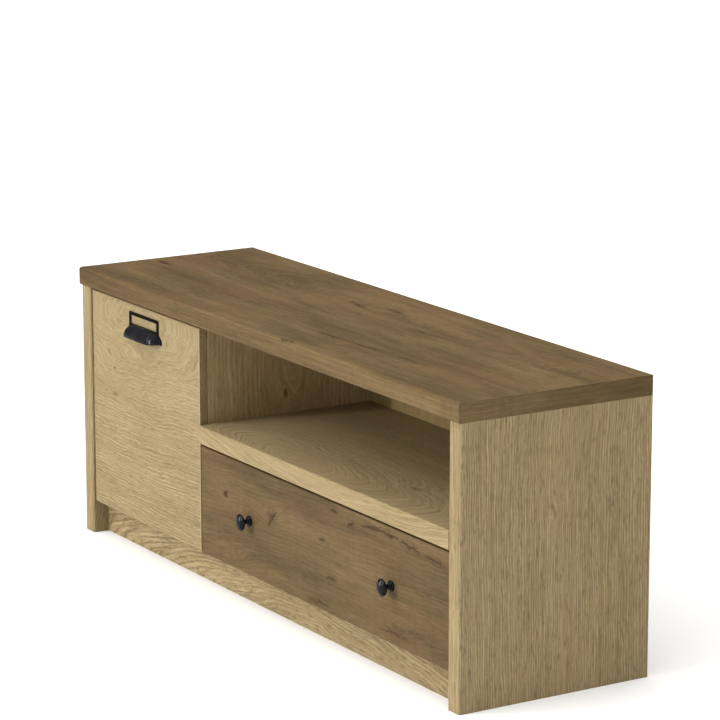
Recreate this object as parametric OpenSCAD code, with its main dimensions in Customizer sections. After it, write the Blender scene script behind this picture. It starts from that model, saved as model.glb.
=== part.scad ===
/* [Overall] */
// Overall width of the stand
unit_w = 1395; // [1150:5:1700]
// Overall height, floor to the top surface
unit_h = 550; // [460:5:680]
// Depth of the side panels, front edge to rear edge
unit_d = 400; // [330:5:500]
// How far the top's front edge stands proud of the side panels
top_overhang = 5; // [0:0.5:15]

/* [Boards] */
// Thickness of the top panel
top_t = 36; // [28:1:45]
// Thickness of the two side panels
side_t = 36; // [25:1:45]
// Thickness of the fixed shelf that is the niche's floor
shelf_t = 36; // [22:1:45]
// Thickness of the partition between the cupboard and the niche
partition_t = 18; // [16:1:28]
// Thickness of the bottom panel
bottom_t = 16; // [15:1:22]
// Thickness of the two plinth boards
plinth_t = 16; // [15:1:22]
// Thickness of the adjustable cupboard shelf
loose_shelf_t = 16; // [15:1:22]
// Thickness of the back panel
back_t = 3; // [2.5:0.5:5]
// Depth of the grooves that hold the back panel
back_groove = 8; // [5:1:12]
// Distance from the back panel's rear face to the side panels' rear edge
back_inset = 7.5; // [5:0.5:12]
// Radius on the top panel's upper front edge
top_round = 6; // [2:0.5:12]
// Radius on the top panel's lower front edge
top_under_round = 4.5; // [2:0.5:10]
// Radius on the side panels' front edges
side_round = 4; // [1:0.5:8]
// Radius on the fixed shelf's front edges
shelf_round = 3; // [1:0.5:8]

/* [Layout] */
// Clear width of the cupboard
cupboard_w = 430; // [360:5:520]
// Clear height of the open niche
niche_h = 194; // [150:1:260]
// Height of the plinth boards
plinth_h = 58; // [45:1:90]
// How far the front plinth board stands back from the side panels' front edges
plinth_setback = 33; // [26:1:60]
// Height of the cupboard shelf's underside above the bottom panel
loose_shelf_rise = 212; // [120:1:260]
// How far the cupboard shelf stands back from the partition's front edge
loose_shelf_setback = 30; // [20:1:60]

/* [Fronts] */
// Thickness of the door and of the drawer front
front_t = 16; // [15:1:22]
// How far both fronts are recessed behind the side panels' front edges
front_recess = 4; // [0:0.5:8]
// Gap between a front and the side panel beside it
side_gap = 3; // [2.5:0.5:4]
// Gap between the door and the drawer front
meeting_gap = 4; // [3:0.5:6]
// Gap over each front
head_gap = 4.5; // [3:0.5:6]
// How far the fronts cover the bottom panel's front edge
front_lap = 6.5; // [3:0.5:10]
// Space between a front's back face and the carcass edges behind it
seat_gap = 1.5; // [1:0.5:3]
// Radius on the front edges of the door and of the drawer front
front_round = 2; // [0.5:0.5:3]

/* [Handle and knobs] */
// Width of the label frame of the door handle
frame_w = 120; // [90:1:140]
// Width of the bars at the frame's sides
frame_post = 6; // [4:0.5:9]
// Height of the frame's top bar
frame_bar = 6.5; // [4:0.5:9]
// Height of the label window
window_h = 17; // [12:0.5:24]
// Thickness of the handle's back plate
plate_t = 2.4; // [1.5:0.1:4]
// Overall width of the handle at its lower ears
ear_w = 144; // [130:1:170]
// Height of the handle's lower ears
ear_h = 10; // [7:0.5:12]
// Outer radius of the hood that the fingers reach under
hood_r = 24; // [18:0.5:30]
// Wall thickness of the hood
hood_wall = 2; // [1.5:0.1:3]
// Overall width of the hood
hood_w = 124; // [90:1:126]
// Distance between the handle's two screws
handle_pitch = 133; // [130:0.5:136]
// Distance from the door's top edge down to the handle's top
handle_drop = 15; // [8:0.5:60]
// Diameter of a drawer knob's head
knob_d = 32; // [24:0.5:40]
// How far a knob stands out from the drawer front
knob_len = 26; // [18:0.5:34]
// Distance between the two knobs
knob_pitch = 500; // [300:5:620]

/* [Hinges and runners] */
// Diameter of the bore for a hinge cup
cup_d = 35; // [35:1:40]
// Depth of that bore
cup_depth = 11.5; // [11:0.1:12]
// Distance from the door's edge to the cup's bore
cup_edge = 5; // [4:0.5:7]
// Distance from the door's edge to the hinge pins
pin_edge = 14; // [13:0.5:16]
// Distance from the door's back face to the hinge pins
pin_deep = 7; // [6.5:0.1:7.5]
// Distance from each end of the door to its hinge
hinge_end = 80; // [60:1:110]
// Height of a runner
runner_h = 45; // [35:1:50]
// Space that a runner takes between the carcass and the drawer box
runner_gap = 12.7; // [12.5:0.1:13]

/* [Drawer box] */
// Space between the top of the drawer box and the fixed shelf above it
box_head = 56; // [20:1:56]
// Thickness of the drawer's sides and back
box_t = 12; // [12:1:15]
// Thickness of the drawer's bottom
box_bottom_t = 3; // [3:0.5:5]
// Height of the drawer box above the bottom panel
box_lift = 14; // [8:1:24]

/* [Fittings] */
// Diameter of a wood dowel
dowel_d = 8; // [6:1:8]
// Diameter of a cam housing
cam_d = 15; // [12:1:15]
// Distance from a board's end to its cam housings
cam_reach = 34; // [24:1:34]
// Distance from a board's face to the cam bolts, in the carcass
cam_axis = 8; // [7.5:0.5:9]
// Clearance on the radius of a fitting in its bore
fit = 0.1; // [0.05:0.05:0.2]
// Distance from the front and rear edges to the cam bolts
fix_in = 66; // [60:1:80]

/* [Hidden] */
$fn = 64;

light_oak = [0.73, 0.65, 0.48];
dark_oak = [0.49, 0.41, 0.30];
back_tone = [0.52, 0.43, 0.24];
white_board = [0.86, 0.85, 0.82];
black_metal = [0.13, 0.13, 0.14];
bright_steel = [0.72, 0.73, 0.75];
beech = [0.80, 0.66, 0.45];
zinc = [0.62, 0.62, 0.64];
clear_rubber = [0.85, 0.86, 0.86];

eps = 0.01;

// Heights
top_z = unit_h - top_t;
floor_z = plinth_h + bottom_t;
shelf_z = top_z - niche_h - shelf_t;
front_z = floor_z - front_lap;
door_z1 = top_z - head_gap;
drawer_z1 = shelf_z - head_gap;

// Places across the width
partition_x0 = side_t + cupboard_w;
partition_x1 = partition_x0 + partition_t;
right_x = unit_w - side_t;
door_x0 = side_t + side_gap;
door_x1 = partition_x1 - meeting_gap / 2;
drawer_x0 = partition_x1 + meeting_gap / 2;
drawer_x1 = right_x - side_gap;
door_mid = (door_x0 + door_x1) / 2;
drawer_mid = (drawer_x0 + drawer_x1) / 2;
drawer_mid_z = (front_z + drawer_z1) / 2;

// Places across the depth
front_back = front_recess + front_t;
carcass_y = front_back + seat_gap;
back_y = unit_d - back_inset - back_t;
fix_ys = [fix_in, unit_d - fix_in];
dowel_step = 32;
dowel_ys = [fix_in + dowel_step, unit_d - fix_in - dowel_step];
reach_out = min(-top_overhang, front_recess - max(knob_len, hood_r));
mid_y = (unit_d + reach_out) / 2;

// Drawer box
box_x0 = partition_x1 + runner_gap;
box_x1 = right_x - runner_gap;
box_z = floor_z + box_lift;
box_y0 = front_back;
box_h = shelf_z - box_head - box_z;
runner_step = 50;
runner_room = 4;
runner_y = carcass_y + 0.5;
runner_len = runner_step * floor((back_y - runner_y - runner_room) / runner_step);
box_y1 = runner_y + runner_len;
box_groove = 5;
box_bottom_rise = 10;
runner_z = box_z + box_h / 2;

// Hinge
pin_x = door_x0 + pin_edge;
pin_y = front_back - pin_deep;
cup_x = door_x0 + cup_edge + cup_d / 2;
cup_wall = 0.8;
hinge_zs = [front_z + hinge_end, door_z1 - hinge_end];
pin_r = 1.5;
pin_play = 0.05;
knuckle_r = 2.9;
arm_w = 12;
arm_t = 2.4;
arm_out = 18.5;
arm_turn_y = pin_y + 18;
arm_back = arm_turn_y + 47;
arm_screw_y = arm_back - 8;
mount_t = 2;
mount_y0 = arm_turn_y + 15;
mount_half = 25;
mount_screw = 16;
mount_screw_y = (mount_y0 + arm_back) / 2;
cup_rim = 1.5;
wing_t = 1.2;
wing_near = -2;
wing_far = 12;
wing_half = 26;
wing_screw = 22.5;
cup_screw_x = (wing_near + wing_far) / 2;
// Half the length of a hinge pin, which ends inside the cup's wall
pin_half = sqrt(pow(cup_d / 2 - fit, 2) - pow(cup_x - pin_x + pin_r, 2)) - 0.2;

// The bottom panel stands back so that the door's rear edge clears it as the door swings
swing_gap = 0.7;
bottom_y = ceil(10 * (pin_y + norm([pin_edge, pin_deep]) + swing_gap)) / 10;

// Fittings
dowel_r = dowel_d / 2;
dowel_in = 12;
dowel_out = 18;
bolt_r = 3;
bolt_in = 11;
cam_past = 4.5;
box_cam_axis = 6;
screw_r = 1.75;
screw_head_r = 3.6;
screw_head_h = 1.5;
screw_len = 11;
cup_screw_len = 9;
handle_screw_len = 10;
box_screw_len = 8;
back_screw_len = 28;
knob_screw_in = 8;
shelf_pin_r = 2.5;
shelf_pin_in = 9;
shelf_pin_out = 8;
shelf_pin_collar = 3.5;
shelf_play = 1;
row_step = 32;
bumper_r = 5;
bumper_t = seat_gap - 0.2;

// Runner sections: sheet, first web, second web and the steps between flanges
sheet = 1.2;
web_at = 3.4;
flange_step = 1.6;
member_lip = 10.8;
drawer_web = 6.4;

// Screw places: along Y and Z on a runner and a hinge plate, along X and Z on the fronts
runner_spots = [for (k = [0.1, 0.5, 0.85]) [runner_y + k * runner_len, runner_z]];
mount_spots = [for (z = hinge_zs) for (s = [-1, 1]) [mount_screw_y, z + s * mount_screw]];
cup_screw_spots = [for (z = hinge_zs) for (s = [-1, 1]) [cup_x + cup_screw_x, z + s * wing_screw]];
box_fix_zs = [box_z + box_h * 0.3, box_z + box_h * 0.8];
back_screw_zs = [box_z + box_h * 0.3, box_z + box_h * 0.85];

// Handle and knobs
handle_top = door_z1 - handle_drop;
window_z = handle_top - frame_bar - window_h;
handle_z0 = window_z - hood_r;
handle_shoulder = 9;
handle_screw_z = handle_z0 + ear_h / 2;
handle_spots = [for (s = [-1, 1]) door_mid + s * handle_pitch / 2];
knob_xs = [drawer_mid - knob_pitch / 2, drawer_mid + knob_pitch / 2];

// Cupboard shelf and its rows of holes
loose_z = floor_z + loose_shelf_rise;
loose_y = carcass_y + loose_shelf_setback;
pin_ys = [loose_y + row_step, back_y - row_step];
row_zs = [for (i = [-1:1]) loose_z - shelf_pin_r + i * row_step];

// Drawer bottom's groove
bottom_slot_z = box_z + box_bottom_rise;

// ---- helpers --------------------------------------------------------------

// Moves the carcass corner so that the origin is under the middle of the whole stand
module place() {
    translate([-unit_w / 2, -mid_y, 0]) children();
}

// Box between two corners
module block(a, b) {
    translate(a) cube(b - a);
}

module rod_x(p, r, l) { translate(p) rotate([0, 90, 0]) cylinder(r = r, h = l); }
module rod_y(p, r, l) { translate(p) rotate([-90, 0, 0]) cylinder(r = r, h = l); }

// Rectangle from the origin with its own radius at each corner:
// lower left, lower right, upper right, upper left
module rounded_rect(size, radii) {
    corners = [[0, 0], [1, 0], [1, 1], [0, 1]];
    difference() {
        square(size);
        for (i = [0:3])
            if (radii[i] > 0)
                translate([
                    corners[i].x * size.x - (corners[i].x == 1 ? radii[i] : eps),
                    corners[i].y * size.y - (corners[i].y == 1 ? radii[i] : eps)
                ])
                    square(radii[i] + eps);
    }
    for (i = [0:3])
        if (radii[i] > 0)
            translate([
                corners[i].x * size.x + (1 - 2 * corners[i].x) * radii[i],
                corners[i].y * size.y + (1 - 2 * corners[i].y) * radii[i]
            ])
                circle(radii[i]);
}

// Extrudes a Y-Z outline along X, from x0 to x1
module along_x(x0, x1) {
    translate([x0, 0, 0]) rotate([90, 0, 90]) linear_extrude(x1 - x0) children();
}

// Extrudes an X-Z outline along Y, from y0 to y1
module along_y(y0, y1) {
    translate([0, y1, 0]) rotate([90, 0, 0]) linear_extrude(y1 - y0) children();
}

// Puts the local Z axis along d and the local X axis along e, at p
module aim(p, d, e) {
    s = cross(d, e);
    multmatrix([
        [e.x, s.x, d.x, p.x],
        [e.y, s.y, d.y, p.y],
        [e.z, s.z, d.z, p.z],
        [0, 0, 0, 1]
    ])
        children();
}

// ---- cam joints and dowels -------------------------------------------------
// Each cam joint: board with the bolt, board with the cam, point on the joint,
// direction into the second board, direction to the face that the cam opens on,
// distance from the bolt to that face
cam_joints = concat(
    [for (y = fix_ys) ["top_panel", "left_side_panel", [side_t - cam_axis, y, top_z],
        [0, 0, -1], [1, 0, 0], cam_axis]],
    [for (y = fix_ys) ["top_panel", "right_side_panel", [right_x + cam_axis, y, top_z],
        [0, 0, -1], [-1, 0, 0], cam_axis]],
    [for (y = fix_ys) ["top_panel", "partition", [partition_x0 + cam_axis, y, top_z],
        [0, 0, -1], [-1, 0, 0], cam_axis]],
    [for (y = fix_ys) ["bottom_panel", "partition", [partition_x0 + cam_axis, y, floor_z],
        [0, 0, 1], [-1, 0, 0], cam_axis]],
    [for (y = fix_ys) ["left_side_panel", "bottom_panel", [side_t, y, plinth_h + cam_axis],
        [1, 0, 0], [0, 0, -1], cam_axis]],
    [for (y = fix_ys) ["right_side_panel", "bottom_panel", [right_x, y, plinth_h + cam_axis],
        [-1, 0, 0], [0, 0, -1], cam_axis]],
    [for (y = fix_ys) ["partition", "niche_shelf", [partition_x1, y, shelf_z + cam_axis],
        [1, 0, 0], [0, 0, -1], cam_axis]],
    [for (y = fix_ys) ["right_side_panel", "niche_shelf", [right_x, y, shelf_z + cam_axis],
        [-1, 0, 0], [0, 0, -1], cam_axis]],
    [["left_side_panel", "plinth_front", [side_t, plinth_setback + plinth_t - cam_axis, plinth_h / 2],
        [1, 0, 0], [0, 1, 0], cam_axis],
     ["right_side_panel", "plinth_front", [right_x, plinth_setback + plinth_t - cam_axis, plinth_h / 2],
        [-1, 0, 0], [0, 1, 0], cam_axis],
     ["left_side_panel", "plinth_rear", [side_t, back_y - plinth_t + cam_axis, plinth_h / 2],
        [1, 0, 0], [0, -1, 0], cam_axis],
     ["right_side_panel", "plinth_rear", [right_x, back_y - plinth_t + cam_axis, plinth_h / 2],
        [-1, 0, 0], [0, -1, 0], cam_axis]]
);

drawer_cam_joints = concat(
    [for (z = box_fix_zs) ["drawer_front", "drawer_side_left",
        [box_x0 + box_t - box_cam_axis, box_y0, z], [0, 1, 0], [1, 0, 0], box_cam_axis]],
    [for (z = box_fix_zs) ["drawer_front", "drawer_side_right",
        [box_x1 - box_t + box_cam_axis, box_y0, z], [0, 1, 0], [-1, 0, 0], box_cam_axis]]
);

// Each dowel: its two boards, point on the joint, direction into the second board
dowels = concat(
    [for (y = dowel_ys) ["top_panel", "left_side_panel", [side_t / 2, y, top_z], [0, 0, -1]]],
    [for (y = dowel_ys) ["top_panel", "right_side_panel", [unit_w - side_t / 2, y, top_z], [0, 0, -1]]],
    [for (y = dowel_ys) ["top_panel", "partition",
        [partition_x0 + partition_t / 2, y, top_z], [0, 0, -1]]],
    [for (y = dowel_ys) ["bottom_panel", "partition",
        [partition_x0 + partition_t / 2, y, floor_z], [0, 0, 1]]],
    [for (y = dowel_ys) ["left_side_panel", "bottom_panel",
        [side_t, y, plinth_h + bottom_t / 2], [1, 0, 0]]],
    [for (y = dowel_ys) ["right_side_panel", "bottom_panel",
        [right_x, y, plinth_h + bottom_t / 2], [-1, 0, 0]]],
    [for (y = dowel_ys) ["partition", "niche_shelf",
        [partition_x1, y, shelf_z + shelf_t / 2], [1, 0, 0]]],
    [for (y = dowel_ys) ["right_side_panel", "niche_shelf",
        [right_x, y, shelf_z + shelf_t / 2], [-1, 0, 0]]]
);

// A direction square to d, for round pieces whose turn doesn't matter
function beside(d) = d.z == 0 ? [0, 0, 1] : [1, 0, 0];

module cam_cut(j) {
    f = j[5];
    aim(j[2], j[3], j[4]) {
        translate([0, 0, -bolt_in]) cylinder(r = bolt_r + fit, h = bolt_in + cam_reach);
        rod_x([-cam_past, 0, cam_reach], cam_d / 2 + fit, f + cam_past + 1);
    }
}

module dowel_cut(w) {
    aim(w[2], w[3], beside(w[3]))
        translate([0, 0, -dowel_in]) cylinder(r = dowel_r + fit, h = dowel_in + dowel_out);
}

// All the bores that one board needs for its joints
module joint_cuts(name) {
    for (j = concat(cam_joints, drawer_cam_joints))
        if (j[0] == name || j[1] == name) cam_cut(j);
    for (w = dowels)
        if (w[0] == name || w[1] == name) dowel_cut(w);
}

// Bolt with a threaded end in one board, a bare shank and a head held by the cam
module cam_bolt(j) {
    head = 3;
    neck = 5;
    aim(j[2], j[3], j[4]) {
        translate([0, 0, -bolt_in]) cylinder(r = bolt_r, h = bolt_in);
        cylinder(r = bolt_r - 0.6, h = cam_reach - neck);
        translate([0, 0, cam_reach - neck]) cylinder(r = 1.5, h = neck - head / 2);
        translate([0, 0, cam_reach - head / 2]) cylinder(r = bolt_r - 0.3, h = head);
    }
}

// Round cam with a hollow for the bolt's head and a cross slot for the screwdriver
module cam_housing(j) {
    f = j[5];
    cam_r = cam_d / 2;
    head_room = bolt_r + 0.3;
    shell = 2.2;
    slot = 1.4;
    slot_deep = 1.6;
    aim(j[2], j[3], j[4])
        difference() {
            rod_x([-cam_past, 0, cam_reach], cam_r, f + cam_past);
            translate([0, 0, cam_reach]) rotate([0, 90, 0])
                translate([0, 0, -head_room]) cylinder(r = cam_r - shell, h = 2 * head_room);
            translate([0, 0, cam_reach - cam_r - 1]) cylinder(r = bolt_r, h = cam_r);
            for (turn = [0, 90])
                translate([f, 0, cam_reach]) rotate([turn, 0, 0])
                    block([-slot_deep, -slot / 2, -cam_r / 2], [1, slot / 2, cam_r / 2]);
        }
}

// Pan-head screw: the head sits on the plane at p and the shank runs along d
module screw(p, d, l) {
    aim(p, d, beside(d)) {
        translate([0, 0, -screw_head_h])
            difference() {
                cylinder(r = screw_head_r, h = screw_head_h);
                for (turn = [0, 90])
                    rotate([0, 0, turn])
                        translate([-0.5, -screw_head_r / 2, -0.1]) cube([1, screw_head_r, 0.8]);
            }
        cylinder(r = screw_r, h = l);
    }
}

module screw_bore(p, d, l) {
    aim(p, d, beside(d)) translate([0, 0, -1]) cylinder(r = screw_r + pin_play, h = l + 1);
}

// ---- carcass ----------------------------------------------------------------

module top_panel() {
    color(dark_oak) difference() {
        along_x(0, unit_w)
            translate([-top_overhang, top_z])
                rounded_rect([unit_d + top_overhang, top_t], [top_under_round, 0, 0, top_round]);
        block([side_t - back_groove, back_y, top_z - 1],
              [right_x + back_groove, back_y + back_t + fit, top_z + back_groove]);
        joint_cuts("top_panel");
    }
}

// Side panel with its outer face at x0, bored for what is fixed to its inner face
module side_panel(x0) {
    color(light_oak) difference() {
        translate([x0, 0, 0])
            linear_extrude(top_z) rounded_rect([side_t, unit_d], [side_round, side_round, 0, 0]);
        children();
    }
}

module left_side_panel() {
    side_panel(0) {
        block([side_t - back_groove, back_y, plinth_h],
              [side_t + 1, back_y + back_t + fit, top_z + 1]);
        joint_cuts("left_side_panel");
        hinge_plate_bores();
        pin_row(side_t - shelf_pin_in);
    }
}

module right_side_panel() {
    side_panel(right_x) {
        block([right_x - 1, back_y, plinth_h],
              [right_x + back_groove, back_y + back_t + fit, top_z + 1]);
        joint_cuts("right_side_panel");
        for (p = runner_spots) screw_bore([right_x - sheet, p.x, p.y], [1, 0, 0], screw_len);
    }
}

module partition() {
    color(light_oak) difference() {
        block([partition_x0, carcass_y, floor_z], [partition_x1, back_y, top_z]);
        joint_cuts("partition");
        for (p = runner_spots)
            screw_bore([partition_x1 + sheet, p.x, p.y], [-1, 0, 0], screw_len);
        pin_row(partition_x0);
    }
}

module bottom_panel() {
    color(light_oak) difference() {
        block([side_t, bottom_y, plinth_h], [right_x, back_y, floor_z]);
        joint_cuts("bottom_panel");
    }
}

module niche_shelf() {
    color(light_oak) difference() {
        along_x(partition_x1, right_x)
            translate([0, shelf_z])
                rounded_rect([back_y, shelf_t], [shelf_round, 0, 0, shelf_round]);
        joint_cuts("niche_shelf");
    }
}

module plinth_front() {
    color(light_oak) difference() {
        block([side_t, plinth_setback, 0], [right_x, plinth_setback + plinth_t, plinth_h]);
        joint_cuts("plinth_front");
    }
}

module plinth_rear() {
    color(light_oak) difference() {
        block([side_t, back_y - plinth_t, 0], [right_x, back_y, plinth_h]);
        joint_cuts("plinth_rear");
    }
}

module back_panel() {
    play = 1;
    color(back_tone)
        block([side_t - back_groove + play, back_y, plinth_h],
              [right_x + back_groove - play, back_y + back_t, top_z + back_groove - play]);
}

// ---- cupboard shelf ---------------------------------------------------------

// The row of holes for the shelf pins, from x over the pins' depth
module pin_row(x) {
    for (y = pin_ys)
        for (z = row_zs)
            rod_x([x - (x < partition_x0 ? 0 : 1), y, z], shelf_pin_r + fit, shelf_pin_in + 1);
}

module cupboard_shelf() {
    color(light_oak)
        block([side_t + shelf_play, loose_y, loose_z],
              [partition_x0 - shelf_play, back_y - shelf_play, loose_z + loose_shelf_t]);
}

module shelf_pin(x, y, way) {
    z = loose_z - shelf_pin_r;
    aim([x, y, z], [way, 0, 0], [0, 0, 1]) {
        translate([0, 0, -shelf_pin_in]) cylinder(r = shelf_pin_r, h = shelf_pin_in + shelf_pin_out);
        cylinder(r = shelf_pin_collar, h = shelf_play * 0.8);
    }
}

module shelf_pins() {
    color(bright_steel)
        for (y = pin_ys) {
            shelf_pin(side_t, y, 1);
            shelf_pin(partition_x0, y, -1);
        }
}

// ---- fittings ---------------------------------------------------------------

module wood_dowels() {
    color(beech)
        for (w = dowels)
            aim(w[2], w[3], beside(w[3]))
                translate([0, 0, -dowel_in]) cylinder(r = dowel_r, h = dowel_in + dowel_out);
}

module cam_bolts() {
    color(zinc) for (j = cam_joints) cam_bolt(j);
}

module cam_housings() {
    color(zinc) for (j = cam_joints) cam_housing(j);
}

module door_bumpers() {
    inset = 30;
    color(clear_rubber)
        for (z = [floor_z + inset, top_z - inset])
            rod_y([partition_x1 - partition_t / 2, carcass_y - bumper_t, z], bumper_r, bumper_t);
}

// ---- hinges -----------------------------------------------------------------

module hinge_plate_bores() {
    for (p = mount_spots) screw_bore([side_t + mount_t, p.x, p.y], [-1, 0, 0], screw_len);
    for (z = hinge_zs)
        rod_x([side_t - screw_len / 2, arm_screw_y, z], screw_r + pin_play, screw_len);
}

// Flat plate on the side panel that carries the hinge arm
module hinge_plate(z) {
    color(bright_steel) difference() {
        block([side_t, mount_y0, z - mount_half], [side_t + mount_t, arm_back, z + mount_half]);
        for (s = [-1, 1])
            screw_bore([side_t + mount_t, mount_screw_y, z + s * mount_screw], [-1, 0, 0], mount_t + 1);
        screw_bore([side_t + mount_t, arm_screw_y, z], [-1, 0, 0], mount_t + 1);
    }
}

// Cranked arm: a knuckle round the pin, out of the cup's mouth, round the door's edge
// and back along the side panel
module hinge_arm(z) {
    foot_x = side_t + mount_t;
    color(bright_steel)
        difference() {
            translate([0, 0, z - arm_w / 2]) linear_extrude(arm_w) difference() {
                union() {
                    translate([pin_x, pin_y]) circle(knuckle_r);
                    translate([pin_x, pin_y - arm_t / 2]) square([arm_out, arm_t]);
                    translate([pin_x + arm_out - arm_t, pin_y - arm_t / 2])
                        square([arm_t, arm_turn_y + arm_t - pin_y + arm_t / 2]);
                    translate([foot_x, arm_turn_y])
                        square([pin_x + arm_out - foot_x, arm_t]);
                    translate([foot_x, arm_turn_y]) square([arm_t, arm_back - arm_turn_y]);
                }
                translate([pin_x, pin_y]) circle(pin_r + pin_play);
            }
            screw_bore([foot_x + arm_t, arm_screw_y, z], [-1, 0, 0], arm_t + 1);
        }
}

// Pressed steel cup in the door's back with two wings for its screws
module hinge_cup(z) {
    cup_r = cup_d / 2 - fit;
    color(bright_steel)
        difference() {
            union() {
                rod_y([cup_x, front_back - cup_depth, z], cup_r, cup_depth + wing_t);
                rod_y([cup_x, front_back, z], cup_r + cup_rim, wing_t);
                block([cup_x + wing_near, front_back, z - wing_half],
                      [cup_x + wing_far, front_back + wing_t, z + wing_half]);
            }
            rod_y([cup_x, front_back - cup_depth + cup_wall, z], cup_r - cup_wall, cup_depth + 5);
            translate([pin_x, pin_y, z - cup_r]) cylinder(r = pin_r, h = 2 * cup_r);
            for (s = [-1, 1])
                screw_bore([cup_x + cup_screw_x, front_back + wing_t, z + s * wing_screw],
                           [0, -1, 0], wing_t + 1);
        }
}

module hinge_pins() {
    color(bright_steel)
        for (z = hinge_zs)
            translate([pin_x, pin_y, z - pin_half]) cylinder(r = pin_r, h = 2 * pin_half);
}

module hinge_plate_screws() {
    color(zinc) for (p = mount_spots) screw([side_t + mount_t, p.x, p.y], [-1, 0, 0], screw_len);
}

module hinge_arm_screws() {
    color(zinc)
        for (z = hinge_zs)
            screw([side_t + mount_t + arm_t, arm_screw_y, z], [-1, 0, 0], mount_t + arm_t + 4);
}

module hinge_cup_screws() {
    color(zinc)
        for (p = cup_screw_spots) screw([p.x, front_back + wing_t, p.y], [0, -1, 0], cup_screw_len);
}

// ---- door ------------------------------------------------------------------

// Front board with all four front edges rounded
module front_board(x0, x1, z0, z1) {
    intersection() {
        translate([x0, front_recess, z0])
            linear_extrude(z1 - z0)
                rounded_rect([x1 - x0, front_t], [front_round, front_round, 0, 0]);
        along_x(x0 - 1, x1 + 1)
            translate([front_recess, z0])
                rounded_rect([front_t, z1 - z0], [front_round, 0, 0, front_round]);
    }
}

module door_panel() {
    color(light_oak) difference() {
        front_board(door_x0, door_x1, front_z, door_z1);
        for (z = hinge_zs)
            rod_y([cup_x, front_back - cup_depth, z], cup_d / 2, cup_depth + 1);
        for (p = cup_screw_spots) screw_bore([p.x, front_back, p.y], [0, -1, 0], cup_screw_len);
        for (x = handle_spots)
            screw_bore([x, front_recess, handle_screw_z], [0, 1, 0], handle_screw_len);
    }
}

// One quarter of a round-ended bar: the hood, solid, with radius r and overall width w
module quarter_bar(r, w) {
    intersection() {
        union() {
            rod_x([door_mid - w / 2 + r, front_recess, handle_z0], r, w - 2 * r);
            for (s = [-1, 1])
                translate([door_mid + s * (w / 2 - r), front_recess, handle_z0]) sphere(r);
        }
        block([door_mid - w, front_recess - r - 1, handle_z0],
              [door_mid + w, front_recess, handle_z0 + r + 1]);
    }
}

// Back plate with the label window and the ears, and the hollow hood below the window
module door_handle() {
    x0 = door_mid - frame_w / 2;
    x1 = door_mid + frame_w / 2;
    ear = (ear_w - frame_w) / 2;
    color(black_metal) {
        difference() {
            union() {
                along_y(front_recess - plate_t, front_recess)
                    difference() {
                        polygon([
                            [x0 - ear, handle_z0], [x1 + ear, handle_z0],
                            [x1 + ear, handle_z0 + ear_h],
                            [x1, handle_z0 + ear_h + handle_shoulder], [x1, handle_top],
                            [x0, handle_top], [x0, handle_z0 + ear_h + handle_shoulder],
                            [x0 - ear, handle_z0 + ear_h]
                        ]);
                        translate([x0 + frame_post, window_z])
                            square([frame_w - 2 * frame_post, window_h]);
                    }
                quarter_bar(hood_r, hood_w);
            }
            difference() {
                translate([0, 0, -eps]) quarter_bar(hood_r - hood_wall, hood_w - 2 * hood_wall);
                block([x0 - ear, front_recess - plate_t, handle_z0 - 1],
                      [x1 + ear, front_recess + 1, handle_top]);
            }
            for (x = handle_spots)
                screw_bore([x, front_recess - plate_t, handle_screw_z], [0, 1, 0], plate_t + 1);
        }
    }
}

module handle_screws() {
    color(black_metal)
        for (x = handle_spots)
            screw([x, front_recess - plate_t, handle_screw_z], [0, 1, 0], handle_screw_len);
}

// ---- drawer ----------------------------------------------------------------

module drawer_front() {
    color(dark_oak) difference() {
        front_board(drawer_x0, drawer_x1, front_z, drawer_z1);
        joint_cuts("drawer_front");
        block([box_x0 + box_t - box_groove, box_y0 - box_groove, bottom_slot_z],
              [box_x1 - box_t + box_groove, box_y0 + 1, bottom_slot_z + box_bottom_t + fit]);
        for (x = knob_xs) screw_bore([x, front_back, drawer_mid_z], [0, -1, 0], front_t + 1);
    }
}

// Drawer side from x0, grooved on the face at groove_x and bored for its joints
module drawer_side(x0, groove_x, name, out_x, way) {
    color(white_board) difference() {
        block([x0, box_y0, box_z], [x0 + box_t, box_y1, box_z + box_h]);
        block([groove_x, box_y0 - 1, bottom_slot_z],
              [groove_x + box_groove + 1, box_y1 + 1, bottom_slot_z + box_bottom_t + fit]);
        joint_cuts(name);
        for (z = back_screw_zs)
            screw_bore([out_x, box_y1 - box_t / 2, z], [way, 0, 0], box_t + 1);
        for (p = runner_spots)
            screw_bore([out_x - way * sheet, p.x, p.y], [way, 0, 0], box_screw_len);
    }
}

module drawer_side_left() {
    drawer_side(box_x0, box_x0 + box_t - box_groove, "drawer_side_left", box_x0, 1);
}

module drawer_side_right() {
    drawer_side(box_x1 - box_t, box_x1 - box_t - 1, "drawer_side_right", box_x1, -1);
}

module drawer_back() {
    color(white_board) difference() {
        block([box_x0 + box_t, box_y1 - box_t, bottom_slot_z + box_bottom_t + fit],
              [box_x1 - box_t, box_y1, box_z + box_h]);
        for (z = back_screw_zs) {
            screw_bore([box_x0, box_y1 - box_t / 2, z], [1, 0, 0], back_screw_len);
            screw_bore([box_x1, box_y1 - box_t / 2, z], [-1, 0, 0], back_screw_len);
        }
    }
}

module drawer_bottom() {
    play = 0.5;
    color(white_board)
        block([box_x0 + box_t - box_groove + play, box_y0 - box_groove + play, bottom_slot_z],
              [box_x1 - box_t + box_groove - play, box_y1, bottom_slot_z + box_bottom_t]);
}

module drawer_cam_bolts() {
    color(zinc) for (j = drawer_cam_joints) cam_bolt(j);
}

module drawer_cam_housings() {
    color(zinc) for (j = drawer_cam_joints) cam_housing(j);
}

module drawer_back_screws() {
    color(zinc)
        for (z = back_screw_zs) {
            screw([box_x0, box_y1 - box_t / 2, z], [1, 0, 0], back_screw_len);
            screw([box_x1, box_y1 - box_t / 2, z], [-1, 0, 0], back_screw_len);
        }
}

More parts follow.
